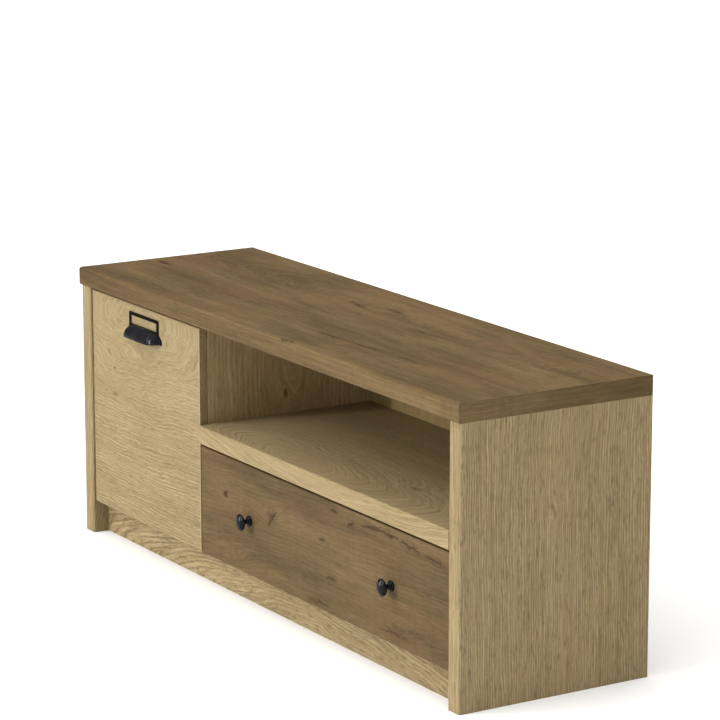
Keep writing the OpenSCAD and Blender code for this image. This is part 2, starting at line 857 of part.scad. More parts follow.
// Turned knob on the drawer front: round base, thin neck and a low domed head
module knob(x) {
    base_r = 10.5;
    base_t = 3;
    base_slope = 4;
    neck_r = 4;
    head_r = knob_d / 2;
    head_slope = 5;
    rim = 3;
    crown = 5;
    head_z = knob_len - crown - rim;
    cap_r = (pow(head_r, 2) + pow(crown, 2)) / (2 * crown);
    color(black_metal)
        translate([x, front_recess, drawer_mid_z]) rotate([90, 0, 0])
            difference() {
                union() {
                    cylinder(r = base_r, h = base_t);
                    translate([0, 0, base_t]) cylinder(r1 = base_r - 2.5, r2 = neck_r, h = base_slope);
                    cylinder(r = neck_r, h = head_z);
                    translate([0, 0, head_z - head_slope])
                        cylinder(r1 = neck_r, r2 = head_r - 2, h = head_slope);
                    translate([0, 0, head_z]) cylinder(r = head_r, h = rim);
                    intersection() {
                        translate([0, 0, knob_len - cap_r]) sphere(cap_r, $fn = 96);
                        translate([0, 0, knob_len - crown]) cylinder(r = head_r, h = crown + 1);
                    }
                }
                translate([0, 0, -1]) cylinder(r = screw_r + pin_play, h = knob_screw_in + 1);
            }
}

module knob_left() { knob(knob_xs[0]); }
module knob_right() { knob(knob_xs[1]); }

module knob_screws() {
    color(zinc)
        for (x = knob_xs)
            screw([x, front_back, drawer_mid_z], [0, -1, 0], front_t + knob_screw_in - 1);
}

// ---- drawer runners ---------------------------------------------------------

// Runner sections lie in X-Z: u is the distance from the carcass side, way is +1 for the left
// runner and -1 for the right one
module member(x, way, web, lip, half, thick) {
    color(bright_steel)
        along_y(runner_y, runner_y + runner_len)
            translate([x, runner_z]) scale([way, 1]) {
                translate([web, -half]) square([thick, 2 * half]);
                for (s = [-1, 1])
                    translate([min(web, lip), s > 0 ? half - thick : -half])
                        square([abs(lip - web) + (lip < web ? thick : 0), thick]);
            }
}

module cabinet_member(x, way) {
    difference() {
        member(x, way, 0, member_lip, runner_h / 2, sheet);
        for (p = runner_spots)
            screw_bore([x + way * sheet, p.x, p.y], [-way, 0, 0], sheet + 1);
    }
}

module middle_member(x, way) {
    member(x, way, web_at, member_lip, runner_h / 2 - flange_step, sheet);
}

module drawer_member(x, way) {
    difference() {
        member(x, way, runner_gap - sheet, drawer_web, runner_h / 2 - 2 * flange_step, sheet);
        for (p = runner_spots)
            screw_bore([x + way * (runner_gap - sheet), p.x, p.y], [way, 0, 0], sheet + 1);
    }
}

module runner_cabinet_left() { cabinet_member(partition_x1, 1); }
module runner_cabinet_right() { cabinet_member(right_x, -1); }
module runner_middle_left() { middle_member(partition_x1, 1); }
module runner_middle_right() { middle_member(right_x, -1); }
module runner_drawer_left() { drawer_member(partition_x1, 1); }
module runner_drawer_right() { drawer_member(right_x, -1); }

module runner_cabinet_screws() {
    color(zinc)
        for (p = runner_spots) {
            screw([partition_x1 + sheet, p.x, p.y], [-1, 0, 0], screw_len);
            screw([right_x - sheet, p.x, p.y], [1, 0, 0], screw_len);
        }
}

module runner_drawer_screws() {
    color(zinc)
        for (p = runner_spots) {
            screw([box_x0 - sheet, p.x, p.y], [1, 0, 0], box_screw_len);
            screw([box_x1 + sheet, p.x, p.y], [-1, 0, 0], box_screw_len);
        }
}

// ---- nodes -----------------------------------------------------------------

place() top_panel();
place() left_side_panel();
place() right_side_panel();
place() partition();
place() bottom_panel();
place() niche_shelf();
place() plinth_front();
place() plinth_rear();
place() back_panel();
place() cupboard_shelf();
place() shelf_pins();
place() wood_dowels();
place() cam_bolts();
place() cam_housings();
place() door_bumpers();
place() hinge_plate(hinge_zs[1]);  // hinge_plate_upper
place() hinge_plate(hinge_zs[0]);  // hinge_plate_lower
place() hinge_arm(hinge_zs[1]);  // hinge_arm_upper
place() hinge_arm(hinge_zs[0]);  // hinge_arm_lower
place() hinge_plate_screws();
place() hinge_arm_screws();
place() runner_cabinet_left();
place() runner_cabinet_right();
place() runner_cabinet_screws();
place() door_panel();
place() hinge_cup(hinge_zs[1]);  // hinge_cup_upper
place() hinge_cup(hinge_zs[0]);  // hinge_cup_lower
place() hinge_pins();
place() hinge_cup_screws();
place() door_handle();
place() handle_screws();
place() drawer_front();
place() drawer_side_left();
place() drawer_side_right();
place() drawer_back();
place() drawer_bottom();
place() drawer_cam_bolts();
place() drawer_cam_housings();
place() drawer_back_screws();
place() knob_left();
place() knob_right();
place() knob_screws();
place() runner_drawer_left();
place() runner_drawer_right();
place() runner_drawer_screws();
place() runner_middle_left();
place() runner_middle_right();
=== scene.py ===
"""A low television stand in two oak decors: a cupboard door, an open niche and a wide drawer.

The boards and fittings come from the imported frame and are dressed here. The cast handle, its two
screws and the two turned knobs are modelled here in place of their plain frame parts.
All lengths are metres.
"""

from __future__ import annotations

import logging
import math
from dataclasses import dataclass, field
from enum import Enum
from typing import Callable, Union

import bpy
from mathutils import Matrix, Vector


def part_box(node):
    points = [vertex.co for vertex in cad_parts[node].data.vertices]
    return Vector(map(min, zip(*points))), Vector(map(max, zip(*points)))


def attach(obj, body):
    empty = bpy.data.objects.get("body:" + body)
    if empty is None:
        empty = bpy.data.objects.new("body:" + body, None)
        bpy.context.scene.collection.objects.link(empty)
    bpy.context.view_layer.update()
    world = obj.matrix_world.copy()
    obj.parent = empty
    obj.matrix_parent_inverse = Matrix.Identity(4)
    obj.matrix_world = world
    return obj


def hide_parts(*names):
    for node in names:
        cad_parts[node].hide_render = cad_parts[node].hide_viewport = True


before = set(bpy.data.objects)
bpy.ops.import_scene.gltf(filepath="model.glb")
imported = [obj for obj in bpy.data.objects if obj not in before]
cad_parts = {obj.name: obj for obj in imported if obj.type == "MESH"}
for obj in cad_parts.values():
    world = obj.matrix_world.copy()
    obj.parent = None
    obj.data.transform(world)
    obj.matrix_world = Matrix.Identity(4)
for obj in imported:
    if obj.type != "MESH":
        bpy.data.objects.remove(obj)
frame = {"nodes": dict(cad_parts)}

log = logging.getLogger("stand")

Number = Union[int, float]
Colour = tuple[float, float, float]
Triple = tuple[float, float, float]

MM = 0.001


# ---- shader tools --------------------------------------------------------------------------


class Value:
    """A number socket that takes part in sums; each operation adds one Math node."""

    def __init__(self, shader: "Shader", socket: bpy.types.NodeSocket) -> None:
        """Wraps one output socket of a shader's tree."""
        self.shader = shader
        self.socket = socket

    def _math(self, operation: str, *others: "Value | Number", swap: bool = False) -> "Value":
        """Adds a Math node on this value.

        Args:
            operation: The Math node's operation.
            others: The second and third values.
            swap: Whether this value is the second input and not the first.

        Returns:
            The node's result.
        """
        values = [self, *others]
        if swap:
            values[0], values[1] = values[1], values[0]
        return self.shader.add("ShaderNodeMath", {"operation": operation}, dict(enumerate(values)))

    def __add__(self, other: "Value | Number") -> "Value":
        """This value and the other, added."""
        return self._math("ADD", other)

    __radd__ = __add__

    def __sub__(self, other: "Value | Number") -> "Value":
        """This value less the other."""
        return self._math("SUBTRACT", other)

    def __rsub__(self, other: "Value | Number") -> "Value":
        """The other less this value."""
        return self._math("SUBTRACT", other, swap=True)

    def __mul__(self, other: "Value | Number") -> "Value":
        """This value times the other."""
        return self._math("MULTIPLY", other)

    __rmul__ = __mul__

    def __gt__(self, other: "Value | Number") -> "Value":
        """1 where this value is over the other, else 0."""
        return self._math("GREATER_THAN", other)

    def __abs__(self) -> "Value":
        """This value without its sign."""
        return self._math("ABSOLUTE")

    def root(self) -> "Value":
        """The square root of this value."""
        return self._math("SQRT")

    def exp(self) -> "Value":
        """e to this value."""
        return self._math("EXPONENT")

    def cos(self) -> "Value":
        """The cosine of this value, in radians."""
        return self._math("COSINE")

    def over(self, other: "Value | Number") -> "Value":
        """The larger of this value and the other."""
        return self._math("MAXIMUM", other)

    def step(self, low: Number, high: Number) -> "Value":
        """A smooth step of this value, 0 at low and 1 at high."""
        return self.shader.add(
            "ShaderNodeMapRange",
            {"interpolation_type": "SMOOTHSTEP"},
            {"Value": self, "From Min": low, "From Max": high},
        )

    def toward(self, other: "Value", share: "Value") -> "Value":
        """This value moved toward the other by a share from 0 to 1."""
        return self + (other - self) * share


class Shader:
    """The node tree of one material or of the world, with a method that adds any node."""

    def __init__(self, owner: bpy.types.Material | bpy.types.World) -> None:
        """Empties the owner's node tree."""
        self.owner = owner
        owner.use_nodes = True
        self.tree = owner.node_tree
        self.tree.nodes.clear()

    @classmethod
    def of(cls, name: str) -> "Shader":
        """The shader of a new material of that name."""
        return cls(bpy.data.materials.new(name))

    def add(
        self,
        kind: str,
        settings: dict[str, object] | None = None,
        inputs: dict[str | int, object] | None = None,
        out: int = 0,
    ) -> Value:
        """Adds a node, sets it, then sets or links its sockets.

        Args:
            kind: The node's type.
            settings: The node's own settings, set first.
            inputs: Values, or Value links, by socket name or place.
            out: Which output is returned.

        Returns:
            The chosen output.
        """
        node = self.tree.nodes.new(kind)
        for name, setting in (settings or {}).items():
            setattr(node, name, setting)
        for key, given in (inputs or {}).items():
            socket = node.inputs[key]
            if isinstance(given, Value):
                self.tree.links.new(given.socket, socket)
            elif isinstance(given, tuple) and socket.type == "RGBA":
                socket.default_value = (*given, 1.0)
            else:
                socket.default_value = given
        outputs = [o for o in node.outputs if o.enabled]
        return Value(self, outputs[out]) if outputs else Value(self, None)

    def place(self) -> tuple[Value, Value, Value]:
        """The object coordinates, as x, y and z."""
        coordinates = self.add("ShaderNodeTexCoord", out=3)
        split = self.add("ShaderNodeSeparateXYZ", inputs={0: coordinates})
        outputs = split.socket.node.outputs
        return Value(self, outputs[0]), Value(self, outputs[1]), Value(self, outputs[2])

    def noise(
        self,
        x: "Value | Number",
        y: "Value | Number",
        z: "Value | Number",
        scale: float = 1.0,
        detail: float = 2.0,
        roughness: float = 0.5,
        lacunarity: float = 2.0,
    ) -> Value:
        """Cloudy noise at a place.

        Args:
            x: The place's x.
            y: The place's y.
            z: The place's z.
            scale: How many lumps there are in a unit.
            detail: How many finer layers lie over the first.
            roughness: How strong each finer layer is.
            lacunarity: How much finer each layer is.

        Returns:
            The noise, from 0 to 1.
        """
        settings = {
            "Vector": self.add("ShaderNodeCombineXYZ", inputs={0: x, 1: y, 2: z}),
            "Scale": scale,
            "Detail": detail,
            "Roughness": roughness,
            "Lacunarity": lacunarity,
        }
        return self.add("ShaderNodeTexNoise", {"noise_dimensions": "3D"}, settings)

    def mix(
        self, first: "Value | Colour", second: "Value | Colour", share: "Value | Number",
        blend: str = "MIX",
    ) -> Value:
        """Two colours mixed by a share, or blended in another way.

        Args:
            first: The colour at share 0.
            second: The colour at share 1.
            share: How much of the second colour shows.
            blend: The Mix node's blend type.

        Returns:
            The mixed colour.
        """
        settings = {"data_type": "RGBA", "blend_type": blend, "clamp_factor": True}
        return self.add("ShaderNodeMix", settings, {0: share, 6: first, 7: second})

    def bump(self, height: Value, strength: float, distance: float) -> Value:
        """A normal bumped by a height."""
        return self.add(
            "ShaderNodeBump", None,
            {"Height": height, "Strength": strength, "Distance": distance},
        )

    def finish(self, **sockets: object) -> bpy.types.Material:
        """Ends the tree in one Principled shader.

        Args:
            sockets: The shader's sockets, with _ for a space in their names.

        Returns:
            The finished material.
        """
        inputs = {name.replace("_", " "): given for name, given in sockets.items()}
        surface = self.add("ShaderNodeBsdfPrincipled", None, inputs)
        self.add("ShaderNodeOutputMaterial", None, {"Surface": surface})
        return self.owner


# ---- the oak boards ------------------------------------------------------------------------


class Axis(Enum):
    """An axis of the stand's frame, by its place in a coordinate."""

    X = 0
    Y = 1
    Z = 2


@dataclass(frozen=True)
class Knot:
    """A knot: its place on the board, how far the grain bows round it, and its dark eye."""

    along: float
    across: float
    length: float = 0.045
    breadth: float = 0.016
    bow: float = 0.012
    eye: float = 0.5


@dataclass(frozen=True)
class Crack:
    """A thin dark crack: its middle, half length, half breadth and turn from the grain."""

    along: float
    across: float
    half: float = 0.03
    breadth: float = 0.002
    turn: float = 0.0
    depth: float = 0.7


@dataclass(frozen=True)
class Board:
    """How one board is cut: its grain, its face, the heart of its rings and its flaws.

    Places are measured from the board's lowest corner. Its colour multiplier scales the decor's
    colours and is partly the board's own tone and partly painted light and shade for how light
    falls on that board; the contrast scales its lines. Wild says how far the rings stray from true
    ovals, hush how far from the heart they stay faint, and the end flag paints a highlight on the
    band round a board's rounded ends and darkens its end faces.
    """

    node: str
    grain: Axis
    across: Axis
    heart: tuple[float, float] = (0.2, -0.3)
    squeeze: float = 0.2
    spacing: float = 0.0065
    seed: float = 0.0
    knots: tuple[Knot, ...] = ()
    cracks: tuple[Crack, ...] = ()
    # Colour multiplier: partly the board's own tone, partly painted light and shade for how light
    # falls on it.
    tone_and_painted_light: Colour = (1.0, 1.0, 1.0)
    contrast: float = 1.0
    wild: float = 0.5
    hush: float = 0.1
    # Paints a highlight on the band round the rounded ends and darkens the end faces.
    edge_highlight_and_dark_ends: bool = False

    @property
    def through(self) -> Axis:
        """The axis through the board's thickness."""
        return Axis(3 - self.grain.value - self.across.value)


@dataclass(frozen=True)
class OakDecor:
    """A printed and embossed oak surface.

    A share is how much of its colour a pattern lays on, and a scale is how many of its marks there
    are in a metre, along the grain and then across it.
    """

    name: str
    pale: Colour
    deep: Colour
    warm: Colour
    light: Colour
    line: Colour
    pore: Colour
    crack: Colour
    ring_share: float = 0.50
    light_share: float = 0.26
    stroke_share: float = 0.45
    cloud_share: float = 0.30
    smoke_share: float = 0.15
    warm_share: float = 0.45
    pore_share: float = 0.35
    tick_share: float = 0.42
    saw_share: float = 0.0
    rough: float = 0.6
    gloss: float = 0.12
    skin: float = 0.5 * MM
    # Width of the band round the rounded ends that carries the painted edge highlight.
    highlight_band: float = 2.0 * MM
    wave: float = 0.04
    stray: float = 0.04
    ripple: float = 0.008
    wobble: float = 0.0025
    straighten: float = 0.6
    drift_scale: tuple[float, float] = (4, 30)
    strength_scale: tuple[float, float] = (5, 90)
    stroke_scale: tuple[float, float] = (8, 540)
    grit_scale: tuple[float, float] = (130, 800)
    pore_scale: tuple[float, float] = (80, 1500)
    tick_scale: tuple[float, float] = (48, 270)
    cloud_scale: tuple[float, float] = (2.6, 12)
    smoke_scale: tuple[float, float] = (2.0, 26)
    blush_scale: tuple[float, float] = (3.4, 16)
    saw_scale: tuple[float, float] = (75, 9)
    # How strong the painted highlight on the end band is, and how much the end faces are darkened.
    edge_highlight_share: float = 0.45
    end_share: float = 0.35
    emboss: float = 0.25 * MM

    def _grain(
        self, shader: Shader, board: Board
    ) -> tuple[tuple[Value, Value, Value], Value, Value]:
        """The board's own coordinates: straightened on its long edges, turned on its ends.

        Args:
            shader: The material being made.
            board: The board.

        Returns:
            The places along the grain, across it and through the board, then masks of the end
            faces and of the bands that fold round them, which carry the painted edge highlight.
        """
        low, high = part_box(board.node)
        half = (high - low) / 2
        place = shader.place()
        along, across, through = (
            place[axis.value] - low[axis.value]
            for axis in (board.grain, board.across, board.through)
        )
        long_edge = abs(across - half[board.across.value]) > (
            half[board.across.value] - self.skin
        )
        straight = along.toward(along * self.straighten, long_edge)
        out = abs(along - half[board.grain.value])
        ends = out > half[board.grain.value] - self.skin
        highlight_band = out > half[board.grain.value] - self.highlight_band
        return (straight.toward(across, ends), across.toward(along, ends), through), ends, highlight_band

    def _rings(
        self, shader: Shader, board: Board, grain: tuple[Value, Value, Value]
    ) -> tuple[Value, Value]:
        """The distance from the heart of the rings, wavy and bowed round the knots.

        Args:
            shader: The material being made.
            board: The board.
            grain: Places along, across and through.

        Returns:
            The distance from the heart, and a mask of the knots' dark eyes.
        """
        along, across, through = grain
        seed = board.seed
        wave = shader.noise(
            along * 1.5 + seed, across * 6, through * 6, detail=2, roughness=0.13, lacunarity=5.5
        ) - 0.5
        stray = shader.noise(
            along * 4.5, across * 13 + seed, through * 13, detail=2, roughness=0.4
        ) - 0.5
        ripple = shader.noise(
            along * 15 + seed, across * 15, through * 15, detail=2, roughness=0.5
        ) - 0.5
        wobble = shader.noise(along * 38, across * 48, through * 48 + seed, detail=1) - 0.5
        down = (along - board.heart[0]) * board.squeeze
        plain = across + through - board.heart[1]
        calm = 1 - (plain * plain + down * down).root().step(0.06, 0.20) * 0.75
        side = (
            plain + wave * self.wave + stray * calm * (self.stray * board.wild)
            + ripple * self.ripple + wobble * (self.wobble * board.wild)
        )
        radius = (side * side + down * down).root()
        eyes: Value | None = None
        for knot in board.knots:
            u = (along - knot.along + wave * 0.02) * (1 / knot.length)
            v = (across - knot.across + stray * 0.02) * (1 / knot.breadth)
            near = ((u * u + v * v) * -1).exp()
            radius = radius + near * knot.bow
            eye = near.step(1 - 0.45 * knot.eye, 1) * knot.eye
            eyes = eye if eyes is None else eyes.over(eye)
        return radius, eyes if eyes is not None else wave * 0

    def _cracks(
        self, shader: Shader, board: Board, grain: tuple[Value, Value, Value]
    ) -> Value | None:
        """A mask of the board's cracks in their dark smudges, or None where it has none."""
        if not board.cracks:
            return None
        along, across, _ = grain
        found: Value | None = None
        fine = shader.noise(along * 60, across * 60, board.seed, detail=3) - 0.5
        patchy = shader.noise(along * 110, across * 170, board.seed, detail=2)
        for crack in board.cracks:
            c, s = math.cos(crack.turn), math.sin(crack.turn)
            u, v = along - crack.along, across - crack.across
            run = (u * c + v * s) * (1 / crack.half)
            off = abs(v * c - u * s + fine * (crack.breadth * 4.5)) * (1 / crack.breadth)
            split = (1 - run * run - off).step(0, 0.7) * crack.depth
            smudge = (1 - run * run - off * 0.22).step(0, 1) * patchy.step(0.3, 0.62)
            mask = split.over(smudge * (0.55 * crack.depth))
            found = mask if found is None else found.over(mask)
        return found

    def material(self, board: Board) -> bpy.types.Material:
        """The decor laid on one board.

        Args:
            board: The board, with its grain and flaws.

        Returns:
            The material.
        """
        shader = Shader.of(f"{self.name}.{board.node}")
        grain, ends, highlight_band = self._grain(shader, board)
        along, across, through = grain
        radius, eyes = self._rings(shader, board, grain)

        def along_rings(
            scale: tuple[float, float], shift: float, detail: float = 2.0, roughness: float = 0.5
        ) -> Value:
            """Noise drawn out along the rings, at a scale and shifted from its neighbours'."""
            place = (along * scale[0], radius * scale[1], board.seed + shift)
            return shader.noise(*place, detail=detail, roughness=roughness)

        run, side = self.drift_scale
        drift = shader.noise(along * run + board.seed, across * side, through * side, detail=2)
        bands = (radius * (2 * math.pi / board.spacing) + drift * 9).cos()
        strength = along_rings(self.strength_scale, 2, detail=3, roughness=0.7).step(0.30, 0.58)
        strokes = along_rings(self.stroke_scale, 0, detail=4, roughness=0.72)
        grit = along_rings(self.grit_scale, 4).step(0.34, 0.56) * 0.45 + 0.55
        far = radius.step(0, board.hush)
        faint = far * 0.75 + 0.25
        lines = (bands.step(0.35, 1) * strength * faint * self.ring_share).over(
            strokes.step(0.50, 0.72) * (faint * 0.6 + 0.4) * self.stroke_share
        ) * grit
        lights = (bands * -1).step(0.1, 0.9) * strokes.step(0.56, 0.38) * far * self.light_share
        pores = along_rings(self.pore_scale, 9, detail=1).step(0.54, 0.68)
        ticks = along_rings(self.tick_scale, 7, roughness=0.6)
        run, side = self.cloud_scale
        cloud = shader.noise(
            along * run + board.seed, across * side, through * side, detail=4, roughness=0.62
        )
        run, side = self.smoke_scale
        smoke = shader.noise(
            along * run, radius * side + board.seed, board.seed, detail=5, roughness=0.66
        ).step(0.46, 0.74)
        run, side = self.blush_scale
        blush = shader.noise(along * run, across * side + board.seed, through * side, detail=3)
        tone = cloud.step(0.3, 0.7) * self.cloud_share + strokes.step(0.25, 0.6) * (
            1 - self.cloud_share
        )
        colour = shader.mix(self.pale, self.deep, tone)
        colour = shader.mix(colour, self.warm, blush.step(0.42, 0.7) * self.warm_share)
        colour = shader.mix(colour, self.light, lights * board.contrast)
        colour = shader.mix(
            colour, self.light, ticks.step(0.44, 0.30) * (self.tick_share * 0.6 * board.contrast)
        )
        colour = shader.mix(
            colour, self.line, ticks.step(0.54, 0.70) * (self.tick_share * board.contrast)
        )
        if self.saw_share:
            run, side = self.saw_scale
            saw = shader.noise(along * run, across * side, through * side, detail=2)
            colour = shader.mix(colour, self.deep, saw.step(0.5, 0.7) * self.saw_share)
        colour = shader.mix(colour, self.line, smoke * self.smoke_share)
        colour = shader.mix(colour, self.line, lines * board.contrast)
        colour = shader.mix(colour, self.pore, pores * (lines * 0.8 + 0.3) * self.pore_share)
        colour = shader.mix(colour, self.crack, eyes)
        height = lines + pores * 0.7 + eyes
        cracks = self._cracks(shader, board, grain)
        if cracks is not None:
            colour = shader.mix(colour, self.crack, cracks * 0.85)
            height = height + cracks * 2
        # Per-board multiplier: partly the board's own tone, partly painted light and shade.
        colour = shader.mix(colour, board.tone_and_painted_light, 1.0, "MULTIPLY")
        # Painted highlight on the band round the rounded ends, and darker end faces.
        if board.edge_highlight_and_dark_ends:
            colour = shader.mix(colour, self.light, (highlight_band - ends) * self.edge_highlight_share)
            colour = shader.mix(colour, self.line, ends * self.end_share)
        return shader.finish(
            Base_Color=colour,
            Roughness=strokes * 0.16 + pores * 0.15 + (self.rough - 0.08),
            Specular_IOR_Level=self.gloss,
            Normal=shader.bump(height * -1, 0.35, self.emboss),
        )


LIGHT_OAK = OakDecor(
    name="light_oak",
    pale=(0.375, 0.288, 0.152),
    deep=(0.245, 0.184, 0.091),
    warm=(0.320, 0.224, 0.112),
    light=(0.470, 0.385, 0.220),
    line=(0.125, 0.084, 0.036),
    pore=(0.075, 0.050, 0.022),
    crack=(0.075, 0.045, 0.018),
)
DARK_OAK = OakDecor(
    name="dark_oak",
    pale=(0.165, 0.110, 0.048),
    deep=(0.078, 0.051, 0.021),
    warm=(0.155, 0.086, 0.038),
    light=(0.215, 0.150, 0.075),
    line=(0.044, 0.028, 0.012),
    pore=(0.020, 0.012, 0.006),
    crack=(0.030, 0.015, 0.005),
    ring_share=0.22,
    light_share=0.14,
    stroke_share=0.34,
    cloud_share=0.75,
    smoke_share=0.46,
    warm_share=0.55,
    tick_share=0.30,
    saw_share=0.16,
    gloss=0.08,
)


# ---- the other finishes --------------------------------------------------------------------


@dataclass(frozen=True)
class SatinBlack:
    """A satin black coating on cast metal."""

    name: str = "satin_black"
    colour: Colour = (0.004, 0.004, 0.0045)
    worn: Colour = (0.010, 0.010, 0.011)
    rough: float = 0.17
    gloss: float = 0.035

    def material(self) -> bpy.types.Material:
        """The coating, with a fine cast texture and slightly rubbed spots."""
        shader = Shader.of(self.name)
        place = shader.place()
        cast = shader.noise(*place, scale=900, detail=3)
        rubbed = shader.noise(*place, scale=60, detail=3).step(0.5, 0.75)
        return shader.finish(
            Base_Color=shader.mix(self.colour, self.worn, rubbed * 0.5),
            Roughness=cast * 0.12 + rubbed * 0.06 + (self.rough - 0.06),
            Specular_IOR_Level=self.gloss,
            Normal=shader.bump(cast, 0.15, 0.10 * MM),
        )


BLUED_BLACK = SatinBlack(
    "blued_black",
    colour=(0.0045, 0.005, 0.0055),
    worn=(0.012, 0.013, 0.014),
    rough=0.18,
    gloss=0.06,
)
FLAT_BLACK = SatinBlack(
    "flat_black",
    colour=(0.0025, 0.0025, 0.0028),
    worn=(0.005, 0.005, 0.0055),
    rough=0.5,
    gloss=0.0,
)


@dataclass(frozen=True)
class PlatedSteel:
    """Plated or rolled steel, with fine rolling lines along one axis."""

    name: str
    colour: Colour
    dull: Colour
    lines: Axis = Axis.Y
    rough: float = 0.3

    def material(self) -> bpy.types.Material:
        """The plating, with rolling lines, dull patches and small scratches."""
        shader = Shader.of(self.name)
        place = list(shader.place())
        place[self.lines.value] = place[self.lines.value] * 0.03
        brushed = shader.noise(*place, scale=2600, detail=2)
        patches = shader.noise(*shader.place(), scale=70, detail=3).step(0.35, 0.7)
        return shader.finish(
            Base_Color=shader.mix(self.colour, self.dull, patches * 0.3 + brushed * 0.4),
            Metallic=1.0,
            Roughness=brushed * 0.16 + patches * 0.06 + (self.rough - 0.08),
            Normal=shader.bump(brushed, 0.15, 0.05 * MM),
        )


@dataclass(frozen=True)
class CoatedBoard:
    """Off-white coated drawer board with a light woven emboss."""

    name: str = "drawer_board"
    colour: Colour = (0.72, 0.705, 0.66)
    shade: Colour = (0.62, 0.60, 0.55)

    def material(self) -> bpy.types.Material:
        """The coating, with a cross-woven emboss and faint clouding."""
        shader = Shader.of(self.name)
        x, y, z = shader.place()
        weft = shader.noise(x * 120, y * 120, z * 2200, detail=1)
        warp = shader.noise(x * 1500, y * 1500, z * 100, detail=1)
        cloud = shader.noise(x, y, z, scale=12, detail=3)
        weave = weft * 0.5 + warp * 0.5
        return shader.finish(
            Base_Color=shader.mix(
                self.colour, self.shade, weave.step(0.35, 0.7) * 0.5 + cloud * 0.3
            ),
            Roughness=weave * 0.2 + 0.4,
            Normal=shader.bump(weave, 0.3, 0.15 * MM),
        )


@dataclass(frozen=True)
class Fibreboard:
    """Thin fibreboard: printed oak on its front face, raw brown fibre behind."""

    name: str = "back_board"
    print_pale: Colour = (0.325, 0.228, 0.088)
    print_deep: Colour = (0.232, 0.154, 0.055)
    fibre: Colour = (0.300, 0.190, 0.105)
    fibre_dark: Colour = (0.170, 0.100, 0.052)

    def material(self, node: str) -> bpy.types.Material:
        """The board's two faces.

        Args:
            node: The frame part that wears it.

        Returns:
            The material.
        """
        shader = Shader.of(self.name)
        low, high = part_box(node)
        x, y, z = shader.place()
        wave = shader.noise(x * 5, y, z * 2, detail=2) - 0.5
        run = x + wave * 0.05
        figure = shader.noise(run * 140, y, z * 5, detail=3, roughness=0.6).step(0.3, 0.7)
        fine = shader.noise(run * 900, y, z * 30, detail=1).step(0.5, 0.7)
        face = shader.mix(self.print_pale, self.print_deep, figure * 0.7 + fine * 0.3)
        fluff = shader.noise(x, y, z, scale=420, detail=4, roughness=0.7)
        flecks = shader.noise(x * 300, y, z * 1100, detail=1).step(0.62, 0.7)
        raw = shader.mix(self.fibre, self.fibre_dark, fluff.step(0.35, 0.7) * 0.6 + flecks * 0.4)
        rear = y > (low.y + high.y) / 2
        return shader.finish(
            Base_Color=shader.mix(face, raw, rear),
            Roughness=rear * 0.25 + fluff * 0.1 + 0.5,
            Normal=shader.bump(fluff * (rear * 0.9 + 0.1), 0.3, 0.2 * MM),
        )


@dataclass(frozen=True)
class RawBeech:
    """Raw beech, with fine flecks along the dowels."""

    name: str = "beech"
    colour: Colour = (0.60, 0.42, 0.23)
    fleck: Colour = (0.42, 0.26, 0.13)

    def material(self) -> bpy.types.Material:
        """The wood, with its short dark flecks."""
        shader = Shader.of(self.name)
        x, y, z = shader.place()
        flecks = shader.noise(x * 300, y * 1500, z * 1500, detail=2).step(0.52, 0.68)
        return shader.finish(
            Base_Color=shader.mix(self.colour, self.fleck, flecks),
            Roughness=flecks * 0.1 + 0.6,
            Normal=shader.bump(flecks * -1, 0.2, 0.1 * MM),
        )


@dataclass(frozen=True)
class ClearRubber:
    """A clear soft bumper."""

    name: str = "bumper_rubber"
    colour: Colour = (0.78, 0.79, 0.79)
    dusty: Colour = (0.62, 0.62, 0.60)

    def material(self) -> bpy.types.Material:
        """The rubber, slightly see-through and dusty."""
        shader = Shader.of(self.name)
        dust = shader.noise(*shader.place(), scale=700, detail=3).step(0.4, 0.7)
        return shader.finish(
            Base_Color=shader.mix(self.colour, self.dusty, dust),
            Roughness=dust * 0.3 + 0.2,
            Transmission_Weight=0.4,
            Normal=shader.bump(dust, 0.1, 0.05 * MM),
        )


# ---- modelling by hand ---------------------------------------------------------------------


